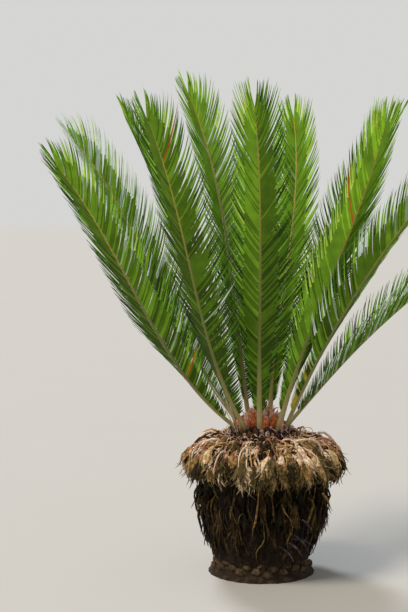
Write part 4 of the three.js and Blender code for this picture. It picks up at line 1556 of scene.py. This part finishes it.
strap_skins = {
    **strip_skins,
    4: weathered("greyish purple dry blade", ["201a1e", "40373d", "6a5f65"], 16.7, 0.7, 0.4),
    5: weathered("orange-brown dry strap", ["5c4020", "8c6838", "b08c58"], 11.1, 0.85, 0.4),
}
for number, rows in STRAPS.items():
    lines = strap_lines(f"strap_lines_{number}", rows)
    tree = strap_tree(f"straps {number}", strap_skins[number])
    piece = grown(f"skirt_straps_{number}", lines, tree, {
        "Steps": STRAP_STEPS,
        "Twist": STRAP_TWIST,
    })
    bpy.data.objects.remove(lines)
    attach(piece, "root")


# Heart.
# The new scales in the middle of the crown, packed close: thick, hooked and felted with rusty
# orange wool that ends in pale tufts. A collar of smaller, darker ones fills in between the ribs.
HEART_MOUND = [(0.0, 558), (30, 553), (52, 540), (64, 516), (68, 484), (0.0, 480)]
HEART_STEPS = 40
HEART_UNEVENNESS = 0.05
HEART_SCATTER = 0.1
WOOLLY_SIDES = 8
WOOLLY_SHAPES = 6
# A woolly scale's rings: the share of its length and the share of its breadth there.
WOOLLY_RINGS = ((0.0, 0.8), (0.25, 1.0), (0.6, 1.0), (0.85, 0.82), (0.97, 0.45))


def woolly_scale(name, rng, length, width, thickness, hook):
    """A thick upright scale, oval in section, that hooks inwards and ends in a blunt tip. Its
    sizes are in millimetres."""
    rings = []
    for along, breadth in WOOLLY_RINGS:
        across = width / 2 * breadth * rng.uniform(0.9, 1.1) * MM
        deep = thickness / 2 * breadth * rng.uniform(0.85, 1.15) * MM
        inward = -hook * along * along * MM
        rings.append((along, [
            (inward + deep * math.cos(turn), across * math.sin(turn), along * length * MM)
            for turn in (2 * math.pi * step / WOOLLY_SIDES for step in range(WOOLLY_SIDES))
        ]))
    tip = (-hook * 1.1 * MM, 0.0, length * MM)
    return skinned(name, rings, tip, [0] * WOOLLY_SIDES)


def woolly_scales(name, **sizes):
    """Several woolly scales of one size, each a little different, kept for dealing out."""
    return kept_as(name, [woolly_scale(f"{name}_{n}", rng, **sizes) for n in range(WOOLLY_SHAPES)])


heart_skins = skins((8.33, 0.95, 1.2, {
    "rusty heart wool": "d86838 ffa470 ffdabe",
    "pinkish heart wool": "dca080 ffdcc4 fff8f2",
    "deep rusty heart wool": "98441e dc763e f8a874",
}))
collar_skins = skins((8.33, 0.95, 0.8, {
    "dark collar felt": "1c100c 38241c 5a4034",
    "brown collar felt": "3a2012 6c4226 94643c",
    "pink collar felt": "7c5644 c4a08c f0dccc",
    "purplish collar felt": "20141a 443036 6c5456",
}))
tuft_skins = skins((5.0, 0.9, 0.4, {
    "pale tuft wool": "d8bcac f8e6da fffaf4",
    "pinkish tuft wool": "c08c70 f0c8b0 ffeade",
    "rusty tuft wool": "a05c34 d89468 f0c09c",
}))
curl_skins = {
    0: weathered("pale curl rind", ["c8a898", "f4dccc", "fffaf4"], 5.0, 0.8, 0.4),
    1: weathered("pinkish curl rind", ["a87058", "e0ac90", "fce0d0"], 5.0, 0.8, 0.4),
    2: weathered("dark curl rind", ["24160e", "4c3020", "785238"], 5.0, 0.9, 0.4),
}
heart_section = [(radius * MM, height * MM) for radius, height in reversed(HEART_MOUND)]
heart = put_in_scene("heart_mound", lathe("heart_mound", heart_section, HEART_STEPS, HEART_UNEVENNESS, rng))
heart.data.materials.append(heart_skins[2])
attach(heart, "root")
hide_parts("crown_heart")

heart_scales = woolly_scales("heart_scale", length=46, width=28, thickness=15, hook=8)
collar_scales = woolly_scales("collar_scale", length=36, width=15, thickness=5, hook=6)
curls = strips(
    "curl", seed=95, count=8, width=4.0, wander=8, skin=tuft_skins[0],
    points=[(0, 0, 0), (8, 0, 14), (22, 0, 16), (30, 0, 4), (24, 0, -6)],
)
tufts = strips(
    "tuft", seed=91, count=8, width=4.5, wander=4, skin=tuft_skins[0],
    points=[(0, 0, 0), (2, 0, 16), (5, 0, 30), (9, 0, 44)],
)
HEART = [
    {"name": "heart_scales", "skins": heart_skins, "pieces": heart_scales,
     "line": [(6, 540), (38, 528), (74, 502)],
     "count": 40, "lean": (2, 32), "unevenness": 0.14, "seed": 5},
    {"name": "heart_tufts", "skins": tuft_skins, "pieces": tufts,
     "line": [(4, 556), (30, 546), (56, 528)],
     "count": 110, "lean": (0, 30), "unevenness": 0.35, "seed": 6},
    {"name": "heart_collar", "skins": collar_skins, "pieces": collar_scales,
     "line": [(72, 498), (100, 482), (122, 462)],
     "count": 150, "lean": (20, 62), "unevenness": 0.3, "seed": 7},
    {"name": "collar_curls", "skins": curl_skins, "pieces": curls,
     "line": [(76, 500), (100, 490), (124, 472)],
     "count": 130, "lean": (-20, 40), "unevenness": 0.9, "seed": 8},
]
for row in HEART:
    piece = dealt_round(row, spiral_tree(row["name"], row["skins"]), HEART_SCATTER, (0.0, 0.0, 0.0))
    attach(piece, "root")
